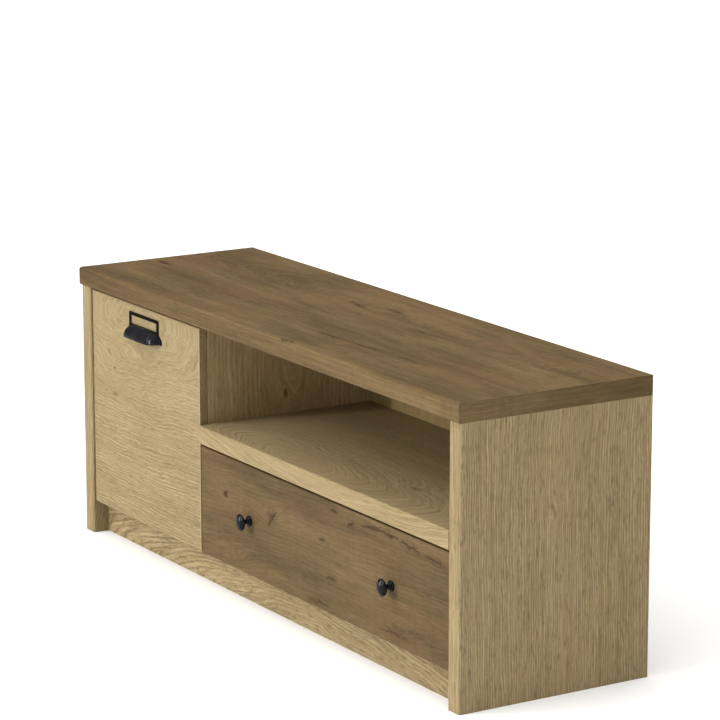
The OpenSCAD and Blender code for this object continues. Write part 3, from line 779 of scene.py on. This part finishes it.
class Bench:
    """The modelling moves that the pieces share, each on the object in edit mode."""

    @staticmethod
    def clear() -> None:
        """Leaves edit mode and deselects everything."""
        if bpy.context.object and bpy.context.object.mode != "OBJECT":
            bpy.ops.object.mode_set(mode="OBJECT")
        bpy.ops.object.select_all(action="DESELECT")

    @staticmethod
    def pick(test: Callable[[Vector], bool]) -> int:
        """Selects the vertices whose place passes a test.

        Args:
            test: What a vertex's place has to pass.

        Returns:
            How many were selected.
        """
        mesh = bpy.context.object.data
        bpy.ops.mesh.select_all(action="DESELECT")
        bpy.ops.object.mode_set(mode="OBJECT")
        hits = [vertex for vertex in mesh.vertices if test(vertex.co)]
        for vertex in hits:
            vertex.select = True
        bpy.ops.object.mode_set(mode="EDIT")
        bpy.ops.mesh.select_mode(type="VERT")
        return len(hits)

    @staticmethod
    def pick_faces(test: Callable[[Vector, Vector], bool]) -> int:
        """Selects the faces whose middle and normal pass a test.

        Args:
            test: What a face's middle and normal have to pass.

        Returns:
            How many were selected.
        """
        mesh = bpy.context.object.data
        bpy.ops.mesh.select_mode(type="FACE")
        bpy.ops.mesh.select_all(action="DESELECT")
        bpy.ops.object.mode_set(mode="OBJECT")
        hits = [face for face in mesh.polygons if test(face.center, face.normal)]
        for face in hits:
            face.select = True
        bpy.ops.object.mode_set(mode="EDIT")
        return len(hits)

    @staticmethod
    def settle(obj: bpy.types.Object, name: str, smooth_angle: float = 0.7) -> bpy.types.Object:
        """Puts the place into the mesh, names the piece and smooths it by angle.

        Args:
            obj: The piece.
            name: Its name.
            smooth_angle: The sharpest angle that is still smoothed, in radians.

        Returns:
            The piece.
        """
        Bench.clear()
        obj.select_set(True)
        bpy.context.view_layer.objects.active = obj
        bpy.ops.object.transform_apply(location=True, rotation=True, scale=True)
        bpy.ops.object.shade_smooth_by_angle(angle=smooth_angle)
        obj.name = name
        obj.data.name = name
        return obj

    @staticmethod
    def modify(obj: bpy.types.Object, kind: str, **settings: object) -> None:
        """Adds a modifier with its settings and applies it."""
        modifier = obj.modifiers.new(kind.title(), kind)
        for name, setting in settings.items():
            setattr(modifier, name, setting)
        bpy.context.view_layer.objects.active = obj
        bpy.ops.object.modifier_apply(modifier=modifier.name)

    @staticmethod
    def copy(obj: bpy.types.Object, name: str, shift: Triple) -> bpy.types.Object:
        """A copy of a finished piece, with its own mesh, moved by a shift."""
        Bench.clear()
        twin = obj.copy()
        twin.data = obj.data.copy()
        bpy.context.scene.collection.objects.link(twin)
        twin.location = shift
        twin.select_set(True)
        bpy.context.view_layer.objects.active = twin
        bpy.ops.object.transform_apply(location=True, rotation=True, scale=True)
        twin.name = name
        twin.data.name = name
        return twin


def log_piece(obj: bpy.types.Object) -> None:
    """Reports a finished piece and its number of faces."""
    log.info("%s: %d faces", obj.name, len(obj.data.polygons))


# ---- the handle ----------------------------------------------------------------------------


@dataclass
class DoorHandle:
    """A cast handle: a label frame over a hollow hood, with an ear and a screw at each side."""

    node: str = "door_handle"
    screw_node: str = "handle_screws"
    frame_width: float = 120 * MM
    post: float = 7.2 * MM
    window_low: float = 24 * MM
    window_high: float = 41 * MM
    ear_high: float = 10 * MM
    plate: float = 2.4 * MM
    hood_radius: float = 24 * MM
    hood_width: float = 124 * MM
    hood_wall: float = 2 * MM
    screw_pitch: float = 133 * MM
    screw_high: float = 5 * MM
    screw_radius: float = 3.6 * MM
    shank_radius: float = 1.9 * MM
    recess: Triple = (0.8 * MM, 1.8 * MM, 4.2 * MM)
    edge: float = 0.75 * MM
    lip: float = 0.7 * MM
    sharp: float = 0.9
    low: Vector = field(init=False)
    high: Vector = field(init=False)

    def __post_init__(self) -> None:
        """Reads the handle's box from the frame."""
        self.low, self.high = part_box(self.node)

    @property
    def middle(self) -> float:
        """The x of the handle's middle."""
        return (self.low.x + self.high.x) / 2

    def build(self) -> list[bpy.types.Object]:
        """Models the casting and its two screws.

        Returns:
            The casting and the screws.
        """
        plate = self._plate()
        hood = self._hood()
        Bench.clear()
        hood.select_set(True)
        plate.select_set(True)
        bpy.context.view_layer.objects.active = plate
        bpy.ops.object.join()
        casting = Bench.settle(plate, "cast_handle")
        left = self._screw()
        right = Bench.copy(left, "handle_screw_right", (self.screw_pitch, 0, 0))
        return [casting, left, right]

    def _plate(self) -> bpy.types.Object:
        """The back plate: frame posts and bar round the window, flared to the ears below."""
        half_ear = (self.high.x - self.low.x) / 2
        half_frame = self.frame_width / 2
        tall = self.high.z - self.low.z
        widths = {
            0.0: half_ear - 1.4 * MM,
            1.4 * MM: half_ear,
            self.ear_high - 1.5 * MM: half_ear,
            self.ear_high: half_ear - 0.8 * MM,
            self.ear_high + 2.2 * MM: half_ear - 3.6 * MM,
            self.ear_high + 4.6 * MM: half_frame + 4.6 * MM,
            self.ear_high + 7.4 * MM: half_frame + 1.9 * MM,
            self.ear_high + 10.5 * MM: half_frame + 0.5 * MM,
            self.window_low: half_frame,
            self.window_high: half_frame,
            tall - 1.2 * MM: half_frame,
            tall: half_frame - 1.2 * MM,
        }
        rows = sorted(widths)
        inner = half_frame - self.post
        Bench.clear()
        bpy.ops.mesh.primitive_grid_add(
            x_subdivisions=3, y_subdivisions=len(rows) - 1, size=1,
            location=(self.middle, self.high.y, self.low.z), rotation=(math.pi / 2, 0, 0),
        )
        plate = bpy.context.object
        bpy.ops.object.transform_apply(location=True, rotation=True, scale=True)
        bpy.ops.object.mode_set(mode="EDIT")
        step = 1 / (len(rows) - 1)
        lift = 2.0  # the rows are set out well above the grid, then lowered, so none meets another
        for index, height in reversed(list(enumerate(rows))):
            old = self.low.z - 0.5 + index * step
            Bench.pick(lambda co, z=old: abs(co.z - z) < step / 4)
            bpy.ops.transform.translate(value=(0, 0, self.low.z + height + lift - old))
        bpy.ops.mesh.select_all(action="SELECT")
        bpy.ops.transform.translate(value=(0, 0, -lift))
        for height, half in widths.items():
            z = self.low.z + height
            for sign in (-1, 1):
                for old, new in ((0.5, half), (1 / 6, inner)):
                    x = self.middle + sign * old
                    Bench.pick(
                        lambda co, x=x, z=z: abs(co.z - z) < 0.2 * MM and abs(co.x - x) < 10 * MM
                    )
                    bpy.ops.transform.translate(value=(self.middle + sign * new - x, 0, 0))
        window = (self.low.z + self.window_low, self.low.z + self.window_high)
        Bench.pick_faces(
            lambda co, _: abs(co.x - self.middle) < inner and window[0] < co.z < window[1]
        )
        bpy.ops.mesh.delete(type="FACE")
        bpy.ops.mesh.select_all(action="SELECT")
        bpy.ops.mesh.extrude_region_move(TRANSFORM_OT_translate={"value": (0, -self.plate, 0)})
        bpy.ops.mesh.select_all(action="SELECT")
        bpy.ops.mesh.normals_make_consistent(inside=False)
        bpy.ops.object.mode_set(mode="OBJECT")
        Bench.modify(
            plate, "BEVEL", width=self.edge, segments=3, limit_method="ANGLE",
            angle_limit=self.sharp,
        )
        return plate

    def _hood(self) -> bpy.types.Object:
        """The hollow hood, a quarter of a round-ended bar with a rounded lip."""
        radius = self.hood_radius
        Bench.clear()
        bpy.ops.mesh.primitive_uv_sphere_add(
            segments=64, ring_count=32, radius=radius,
            location=(self.middle, self.high.y, self.low.z), rotation=(0, math.pi / 2, 0),
        )
        hood = bpy.context.object
        bpy.ops.object.transform_apply(location=True, rotation=True, scale=True)
        bpy.ops.object.mode_set(mode="EDIT")
        reach = self.hood_width / 2 - radius
        for sign in (-1, 1):
            Bench.pick(lambda co, s=sign: s * (co.x - self.middle) > 0.1 * MM)
            bpy.ops.transform.translate(value=(sign * reach, 0, 0))
        Bench.pick(
            lambda co: co.y > self.high.y + 0.1 * MM or co.z < self.low.z - 0.1 * MM
        )
        bpy.ops.mesh.delete(type="VERT")
        bpy.ops.mesh.select_all(action="SELECT")
        bpy.ops.mesh.normals_make_consistent(inside=False)
        bpy.ops.object.mode_set(mode="OBJECT")
        if sum(face.normal.z * face.area for face in hood.data.polygons) < 0:
            bpy.ops.object.mode_set(mode="EDIT")
            bpy.ops.mesh.flip_normals()
            bpy.ops.object.mode_set(mode="OBJECT")
        Bench.modify(hood, "SOLIDIFY", thickness=self.hood_wall, offset=-1, use_even_offset=True)
        Bench.modify(
            hood, "BEVEL", width=self.lip, segments=3, limit_method="ANGLE",
            angle_limit=self.sharp,
        )
        return hood

    def _screw(self) -> bpy.types.Object:
        """The left ear's screw: a low domed head with a cross recess, and its shank."""
        low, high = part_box(self.screw_node)
        face = self.high.y - self.plate
        x = self.middle - self.screw_pitch / 2
        z = self.low.z + self.screw_high
        Bench.clear()
        bpy.ops.mesh.primitive_circle_add(
            vertices=32, radius=self.shank_radius, location=(x, high.y, z),
            rotation=(math.pi / 2, 0, 0),
        )
        screw = bpy.context.object
        bpy.ops.object.mode_set(mode="EDIT")
        bpy.ops.mesh.select_all(action="SELECT")
        bpy.ops.mesh.edge_face_add()
        head = self.screw_radius
        crown = face - low.y
        steps = [(self.shank_radius, face - high.y), (head, 0.0), (head, -0.35 * crown)]
        steps += [
            (head * math.cos(t), -0.65 * crown * (math.sin(t) - math.sin(t - 0.3)))
            for t in (0.3, 0.6, 0.9, 1.2)
        ]
        size = self.shank_radius
        for radius, move in steps:
            bpy.ops.mesh.extrude_region_move(TRANSFORM_OT_translate={"value": (0, move, 0)})
            bpy.ops.transform.resize(value=(radius / size, 1, radius / size))
            size = radius
        bpy.ops.mesh.select_all(action="SELECT")
        bpy.ops.mesh.remove_doubles(threshold=0.01 * MM)
        bpy.ops.mesh.normals_make_consistent(inside=False)
        bpy.ops.object.mode_set(mode="OBJECT")
        for turn in (0.0, math.pi / 2):
            Bench.clear()
            bpy.ops.mesh.primitive_cube_add(
                size=1, location=(x, low.y, z), rotation=(0, turn + math.pi / 5, 0),
                scale=self.recess,
            )
            cutter = bpy.context.object
            Bench.modify(screw, "BOOLEAN", object=cutter, operation="DIFFERENCE", solver="EXACT")
            bpy.data.objects.remove(cutter)
        return Bench.settle(screw, "handle_screw_left", 0.5)

    def dress(
        self, pieces: list[bpy.types.Object], coating: bpy.types.Material, flat: bpy.types.Material
    ) -> None:
        """Coats the handle and sets it on the door.

        Args:
            pieces: The casting and the screws.
            coating: The black coating.
            flat: The flatter black of the back plate.
        """
        for piece in pieces:
            piece.data.materials.clear()
            piece.data.materials.append(coating)
            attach(piece, "door")
            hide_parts(self.node if piece is pieces[0] else self.screw_node)
            log_piece(piece)
        casting = pieces[0].data
        casting.materials.append(flat)
        for face in casting.polygons:
            face.material_index = int(face.center.y > self.high.y - self.plate - 0.1 * MM)


# ---- the knobs -----------------------------------------------------------------------------


@dataclass
class DrawerKnobs:
    """Two turned knobs: a round base with a bead, a waisted neck and a low domed head."""

    nodes: tuple[str, str] = ("knob_left", "knob_right")
    vertices: int = 64
    profile: tuple[tuple[float, float], ...] = (
        (10.2, 0.0), (10.5, 0.3), (10.5, 1.6), (10.2, 2.3), (9.5, 2.7), (8.6, 2.9),
        (8.3, 3.3), (7.4, 4.1), (6.2, 5.0), (5.2, 6.2), (4.5, 7.8), (4.1, 9.6), (4.0, 11.4),
        (4.3, 13.0), (5.2, 14.4), (7.2, 15.7), (10.0, 16.7), (12.8, 17.4), (14.6, 18.0),
        (15.6, 18.8), (16.0, 19.8), (15.9, 20.8), (15.3, 21.7), (14.0, 22.6), (12.0, 23.6),
        (9.6, 24.6), (6.8, 25.35), (4.0, 25.8), (1.6, 25.97),
    )

    def build(self) -> list[bpy.types.Object]:
        """Turns the left knob and copies it for the right.

        Returns:
            The two knobs.
        """
        low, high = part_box(self.nodes[0])
        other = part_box(self.nodes[1])[0]
        centre = (low + high) / 2
        Bench.clear()
        start = self.profile[0][0] * MM
        bpy.ops.mesh.primitive_circle_add(
            vertices=self.vertices, radius=start,
            location=(centre.x, high.y, centre.z), rotation=(math.pi / 2, 0, 0),
        )
        knob = bpy.context.object
        bpy.ops.object.mode_set(mode="EDIT")
        bpy.ops.mesh.select_all(action="SELECT")
        size, out = start, 0.0
        for radius, reach in self.profile[1:]:
            bpy.ops.mesh.extrude_region_move(
                TRANSFORM_OT_translate={"value": (0, out - reach * MM, 0)}
            )
            share = radius * MM / size
            bpy.ops.transform.resize(value=(share, 1, share))
            size, out = radius * MM, reach * MM
        bpy.ops.mesh.extrude_region_move(
            TRANSFORM_OT_translate={"value": (0, out - (high.y - low.y), 0)}
        )
        bpy.ops.mesh.merge(type="CENTER")
        bpy.ops.object.mode_set(mode="OBJECT")
        bpy.ops.object.transform_apply(location=True, rotation=True, scale=True)
        bpy.ops.object.mode_set(mode="EDIT")
        Bench.pick(lambda co: co.y > high.y - 0.01 * MM)
        bpy.ops.mesh.edge_face_add()
        bpy.ops.mesh.inset(thickness=4 * MM)
        bpy.ops.mesh.select_all(action="SELECT")
        bpy.ops.mesh.normals_make_consistent(inside=False)
        bpy.ops.object.mode_set(mode="OBJECT")
        left = Bench.settle(knob, "turned_knob_left", 0.9)
        return [left, Bench.copy(left, "turned_knob_right", (other.x - low.x, 0, 0))]

    def dress(self, pieces: list[bpy.types.Object], coating: bpy.types.Material) -> None:
        """Coats the knobs and sets them on the drawer.

        Args:
            pieces: The two knobs.
            coating: The black coating.
        """
        for piece, node in zip(pieces, self.nodes):
            piece.data.materials.clear()
            piece.data.materials.append(coating)
            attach(piece, "drawer")
            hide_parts(node)
            log_piece(piece)


# ---- the carcass, door and drawer from the frame -------------------------------------------


def wear(node: bpy.types.Object, material: bpy.types.Material) -> None:
    """Puts a material on every slot of a frame part, and reports it.

    Args:
        node: The frame part.
        material: Its finish.
    """
    if not node.material_slots:
        node.data.materials.append(material)
    for slot in node.material_slots:
        slot.material = material
    log.info("%s: %s", node.name, material.name)


@dataclass
class OakBoards:
    """Every board in the two oak decors, each with its own cut of the wood."""

    # Each board's colour multiplier is partly its own tone and partly painted light and shade for
    # how light falls on it.
    light: tuple[Board, ...] = (
        Board(
            "left_side_panel", Axis.Z, Axis.Y, (0.9, -0.15), 0.2, 0.0062, 3.1,
            tone_and_painted_light=(0.93, 0.93, 0.93),
        ),
        Board(
            "right_side_panel", Axis.Z, Axis.Y, (-0.05, 0.75), 0.12, 0.0050, 7.7,
            tone_and_painted_light=(0.945, 0.945, 0.95), contrast=1.2,
            knots=(
                Knot(0.325, 0.197, 0.03, 0.010, 0.008, 0.35),
                Knot(0.322, 0.262, 0.03, 0.010, -0.006, 0.4),
                Knot(0.333, 0.318, 0.02, 0.007, 0.004, 0.45),
            ),
            cracks=(
                Crack(0.440, 0.004, 0.008, 0.0016, 0.2, 0.55),
                Crack(0.392, 0.002, 0.006, 0.0014, -0.1, 0.5),
                Crack(0.305, 0.004, 0.010, 0.0018, 0.15, 0.6),
                Crack(0.205, 0.002, 0.007, 0.0014, 0.0, 0.5),
                Crack(0.120, 0.003, 0.009, 0.0016, -0.15, 0.55),
            ),
        ),
        # The partition's paler, warmer multiplier is painted light in the niche.
        Board(
            "partition", Axis.Z, Axis.Y, (0.40, 0.21), 0.22, 0.0095, 1.3,
            tone_and_painted_light=(1.12, 1.06, 1.02), contrast=0.9,
            knots=(Knot(0.285, 0.175, 0.02, 0.008, 0.010, 0.8),),
        ),
        Board("bottom_panel", Axis.X, Axis.Y, (0.5, -0.2), 0.2, 0.0065, 5.5),
        Board(
            "niche_shelf", Axis.X, Axis.Y, (0.30, 0.075), 0.28, 0.0080, 2.2,
            contrast=0.65, wild=1.8,
            knots=(Knot(0.62, 0.10, 0.05, 0.018, 0.012, 0.5),),
        ),
        Board(
            "plinth_front", Axis.X, Axis.Z, (0.85, -0.03), 0.16, 0.0064, 9.4,
            contrast=1.5, wild=1.0,
        ),
        Board("plinth_rear", Axis.X, Axis.Z, (0.30, -0.05), 0.16, 0.0060, 11.4),
        Board("cupboard_shelf", Axis.X, Axis.Y, (0.15, 0.20), 0.25, 0.0065, 6.6),
        Board(
            "door_panel", Axis.X, Axis.Z, (0.200, 0.415), 0.30, 0.0064, 4.2,
            tone_and_painted_light=(0.935, 0.935, 0.94), wild=2.4, hush=0.30, edge_highlight_and_dark_ends=True,
            knots=(
                Knot(0.092, 0.300, 0.012, 0.006, 0.004, 0.7),
                Knot(0.092, 0.245, 0.035, 0.014, 0.012, 0.45),
            ),
        ),
    )
    dark: tuple[Board, ...] = (
        Board(
            "top_panel", Axis.X, Axis.Y, (0.9, 0.34), 0.10, 0.0110, 8.3,
            tone_and_painted_light=(1.04, 1.04, 1.04), contrast=0.8,
            knots=(
                Knot(0.700, 0.312, 0.09, 0.022, 0.018, 0.45),
                Knot(0.055, 0.168, 0.05, 0.013, 0.010, 0.7),
                Knot(0.890, 0.250, 0.035, 0.013, -0.010, 0.5),
                Knot(0.335, 0.280, 0.030, 0.016, 0.008, 0.35),
            ),
            cracks=(
                Crack(0.820, 0.093, 0.085, 0.0030, 0.04, 0.85),
                Crack(0.950, 0.100, 0.070, 0.0030, 0.06, 0.95),
                Crack(1.070, 0.107, 0.060, 0.0026, 0.03, 0.8),
                Crack(0.615, 0.282, 0.050, 0.0040, -0.22, 0.8),
                Crack(0.730, 0.305, 0.040, 0.0040, -0.12, 0.7),
                Crack(0.045, 0.168, 0.030, 0.0050, -0.10, 0.8),
                Crack(0.105, 0.142, 0.028, 0.0035, -0.08, 0.6),
                Crack(1.260, 0.275, 0.075, 0.0035, 0.04, 0.6),
                Crack(0.820, 0.006, 0.035, 0.0040, 0.0, 0.8),
            ),
        ),
        Board(
            "drawer_front", Axis.X, Axis.Z, (0.75, -0.10), 0.16, 0.0085, 6.1,
            tone_and_painted_light=(0.97, 0.98, 1.0), contrast=0.95, wild=0.8, edge_highlight_and_dark_ends=True,
            knots=(
                Knot(0.093, 0.141, 0.018, 0.011, 0.006, 0.75),
                Knot(0.265, 0.135, 0.045, 0.020, 0.016, 0.40),
                Knot(0.630, 0.196, 0.050, 0.010, 0.008, 0.60),
                Knot(0.130, 0.020, 0.090, 0.022, 0.012, 0.0),
                Knot(0.730, 0.020, 0.090, 0.018, 0.018, 0.25),
            ),
            cracks=(
                Crack(0.272, 0.130, 0.031, 0.0045, 0.82, 0.95),
                Crack(0.262, 0.126, 0.020, 0.0040, 0.95, 0.8),
                Crack(0.098, 0.143, 0.012, 0.0040, 0.70, 0.8),
                Crack(0.450, 0.133, 0.017, 0.0030, 0.05, 0.85),
                Crack(0.483, 0.068, 0.026, 0.0028, 0.12, 0.85),
                Crack(0.490, 0.196, 0.018, 0.0036, 0.05, 0.8),
                Crack(0.550, 0.187, 0.020, 0.0050, 0.50, 0.9),
                Crack(0.612, 0.193, 0.040, 0.0040, 0.06, 0.85),
                Crack(0.675, 0.197, 0.048, 0.0036, -0.02, 0.95),
                Crack(0.745, 0.191, 0.045, 0.0036, -0.14, 0.95),
                Crack(0.825, 0.186, 0.045, 0.0030, -0.05, 0.8),
                Crack(0.440, 0.012, 0.060, 0.0040, 0.02, 0.6),
                Crack(0.690, 0.022, 0.060, 0.0040, 0.05, 0.6),
            ),
        ),
    )

    def dress(self, nodes: dict[str, bpy.types.Object]) -> None:
        """Lays its decor on each board."""
        for decor, boards in ((LIGHT_OAK, self.light), (DARK_OAK, self.dark)):
            for board in boards:
                wear(nodes[board.node], decor.material(board))


@dataclass
class Fittings:
    """The drawer box, the back and all metal, wood and rubber fittings from the frame."""

    boards: tuple[str, ...] = (
        "drawer_side_left", "drawer_side_right", "drawer_back", "drawer_bottom",
    )
    zinc: tuple[str, ...] = (
        "cam_bolts", "cam_housings", "hinge_plate_screws", "hinge_arm_screws",
        "runner_cabinet_screws", "hinge_cup_screws", "drawer_cam_bolts", "drawer_cam_housings",
        "drawer_back_screws", "runner_drawer_screws", "knob_screws",
    )
    nickel: tuple[str, ...] = (
        "shelf_pins", "hinge_plate_upper", "hinge_plate_lower", "hinge_arm_upper",
        "hinge_arm_lower", "hinge_cup_upper", "hinge_cup_lower", "hinge_pins",
    )
    runners: tuple[str, ...] = (
        "runner_cabinet_left", "runner_cabinet_right", "runner_drawer_left",
        "runner_drawer_right", "runner_middle_left", "runner_middle_right",
    )

    def dress(self, nodes: dict[str, bpy.types.Object]) -> None:
        """Gives each fitting its finish."""
        coated = CoatedBoard().material()
        zinc = PlatedSteel("zinc", (0.56, 0.55, 0.50), (0.40, 0.40, 0.38)).material()
        nickel = PlatedSteel(
            "nickel", (0.64, 0.62, 0.58), (0.50, 0.49, 0.46), rough=0.24
        ).material()
        rolled = PlatedSteel("rolled_steel", (0.55, 0.56, 0.57), (0.40, 0.41, 0.42)).material()
        for names, material in (
            (self.boards, coated), (self.zinc, zinc), (self.nickel, nickel), (self.runners, rolled),
        ):
            for name in names:
                wear(nodes[name], material)
        wear(nodes["back_panel"], Fibreboard().material("back_panel"))
        wear(nodes["wood_dowels"], RawBeech().material())
        wear(nodes["door_bumpers"], ClearRubber().material())


# ---- the studio ----------------------------------------------------------------------------


@dataclass(frozen=True)
class Panel:
    """A flat light that faces the stand: its middle, its width and height, and its watts."""

    name: str
    place: Triple
    size: tuple[float, float]
    power: float


@dataclass
class Studio:
    """A plain pale floor, soft light from the front left, and the camera."""

    camera_place: Triple = (5.1744, -3.1576, 1.8371)
    heading: float = math.radians(148.259)
    pitch: float = math.radians(12.732)
    lens: float = 164.78
    film: float = 36.0
    far_clip: float = 200.0
    floor_half: float = 60.0
    floor_tone: Colour = (0.90, 0.90, 0.89)
    floor_fleck: float = 0.97
    floor_drop: float = 0.2 * MM
    sky: float = 0.14
    ceiling: float = 2.1
    ceiling_edge: tuple[float, float] = (0.5, 0.8)
    sun_strength: float = 1.65
    sun_spread: float = math.radians(40)
    sun_way: Triple = (0.22, 0.80, -0.56)
    aim: Triple = (0.0, 0.0, 0.3)
    softbox: Panel = Panel("softbox", (-0.9, -3.4, 1.2), (0.26, 1.7), 44.0)
    fill: Panel = Panel("fill", (2.6, -2.8, 0.8), (2.2, 1.4), 26.0)
    hood_glint: Panel = Panel("hood_glint", (0.55, -3.2, 1.30), (0.50, 2.1), 440.0)
    knob_glint: Panel = Panel("knob_glint", (-2.7, -3.3, 0.95), (0.45, 1.9), 115.0)

    def build(self, castings: list[bpy.types.Object], knobs: list[bpy.types.Object]) -> None:
        """Lays the floor, hangs the lights and sets the camera.

        Args:
            castings: The handle and its screws, which a light of their own picks out.
            knobs: The knobs, which another light picks out.
        """
        self._floor()
        self._lights(castings, knobs)
        self._camera()

    def _floor(self) -> None:
        """A broad floor with a faint speckle, just under the stand."""
        Bench.clear()
        bpy.ops.mesh.primitive_grid_add(
            x_subdivisions=4, y_subdivisions=4, size=2 * self.floor_half,
            location=(0, 0, -self.floor_drop),
        )
        floor = Bench.settle(bpy.context.object, "floor")
        shader = Shader.of("pale_floor")
        speckle = shader.noise(*shader.place(), scale=90, detail=3)
        darker = tuple(self.floor_fleck * part for part in self.floor_tone)
        colour = shader.mix(self.floor_tone, darker, speckle)
        floor.data.materials.append(shader.finish(Base_Color=colour, Roughness=0.9))

    def _lights(self, castings: list[bpy.types.Object], knobs: list[bpy.types.Object]) -> None:
        """A broad soft key light, a tall softbox, an even sky and a glint for each fitting.

        Args:
            castings: The pieces that the handle's glint reaches.
            knobs: The pieces that the knobs' glint reaches.
        """
        world = bpy.data.worlds.new("studio")
        bpy.context.scene.world = world
        shader = Shader(world)
        way = shader.add("ShaderNodeTexCoord", out=0)
        split = shader.add("ShaderNodeSeparateXYZ", inputs={0: way})
        height = Value(shader, split.socket.node.outputs[2])
        glow = height.step(*self.ceiling_edge) * (self.ceiling - self.sky) + self.sky
        sky = shader.add(
            "ShaderNodeBackground", None, {"Color": (1.0, 1.0, 1.0), "Strength": glow}
        )
        shader.add("ShaderNodeOutputWorld", None, {"Surface": sky})
        sun = bpy.data.lights.new("key", "SUN")
        sun.energy = self.sun_strength
        sun.angle = self.sun_spread
        key = bpy.data.objects.new("key", sun)
        key.rotation_mode = "QUATERNION"
        key.rotation_quaternion = Vector(self.sun_way).to_track_quat("-Z", "Y")
        bpy.context.scene.collection.objects.link(key)
        self._hang(self.softbox)
        self._hang(self.fill)
        for panel, pieces in ((self.hood_glint, castings), (self.knob_glint, knobs)):
            receivers = bpy.data.collections.new(panel.name)
            for piece in pieces:
                receivers.objects.link(piece)
            self._hang(panel).light_linking.receiver_collection = receivers
        bpy.context.scene.view_settings.view_transform = "Standard"

    def _hang(self, panel: Panel) -> bpy.types.Object:
        """Hangs a flat light that faces the stand.

        Args:
            panel: The light's place, size and power.

        Returns:
            The light.
        """
        lamp = bpy.data.lights.new(panel.name, "AREA")
        lamp.shape = "RECTANGLE"
        lamp.size, lamp.size_y = panel.size
        lamp.energy = panel.power
        light = bpy.data.objects.new(panel.name, lamp)
        light.location = panel.place
        light.rotation_mode = "QUATERNION"
        way = Vector(self.aim) - light.location
        light.rotation_quaternion = way.to_track_quat("-Z", "Y")
        bpy.context.scene.collection.objects.link(light)
        return light

    def _camera(self) -> None:
        """The camera, level across and pitched down."""
        data = bpy.data.cameras.new("camera")
        data.sensor_width = self.film
        data.lens = self.lens
        data.clip_end = self.far_clip
        camera = bpy.data.objects.new("camera", data)
        flat = math.cos(self.pitch)
        way = Vector(
            (flat * math.cos(self.heading), flat * math.sin(self.heading), -math.sin(self.pitch))
        )
        camera.location = self.camera_place
        camera.rotation_mode = "QUATERNION"
        camera.rotation_quaternion = way.to_track_quat("-Z", "Y")
        bpy.context.scene.collection.objects.link(camera)
        bpy.context.scene.camera = camera


# ---- putting it together -------------------------------------------------------------------


def main() -> None:
    """Dresses the frame's parts, models the handle and the knobs, and lights the stand."""
    logging.basicConfig(level=logging.INFO, format="%(name)s: %(message)s")
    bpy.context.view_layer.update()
    nodes = frame["nodes"]
    Bench.clear()
    OakBoards().dress(nodes)
    Fittings().dress(nodes)
    handle = DoorHandle()
    castings = handle.build()
    handle.dress(castings, SatinBlack().material(), FLAT_BLACK.material())
    knobs = DrawerKnobs()
    turned = knobs.build()
    knobs.dress(turned, BLUED_BLACK.material())
    Studio().build(castings, turned)


if __name__ == "__main__":
    main()
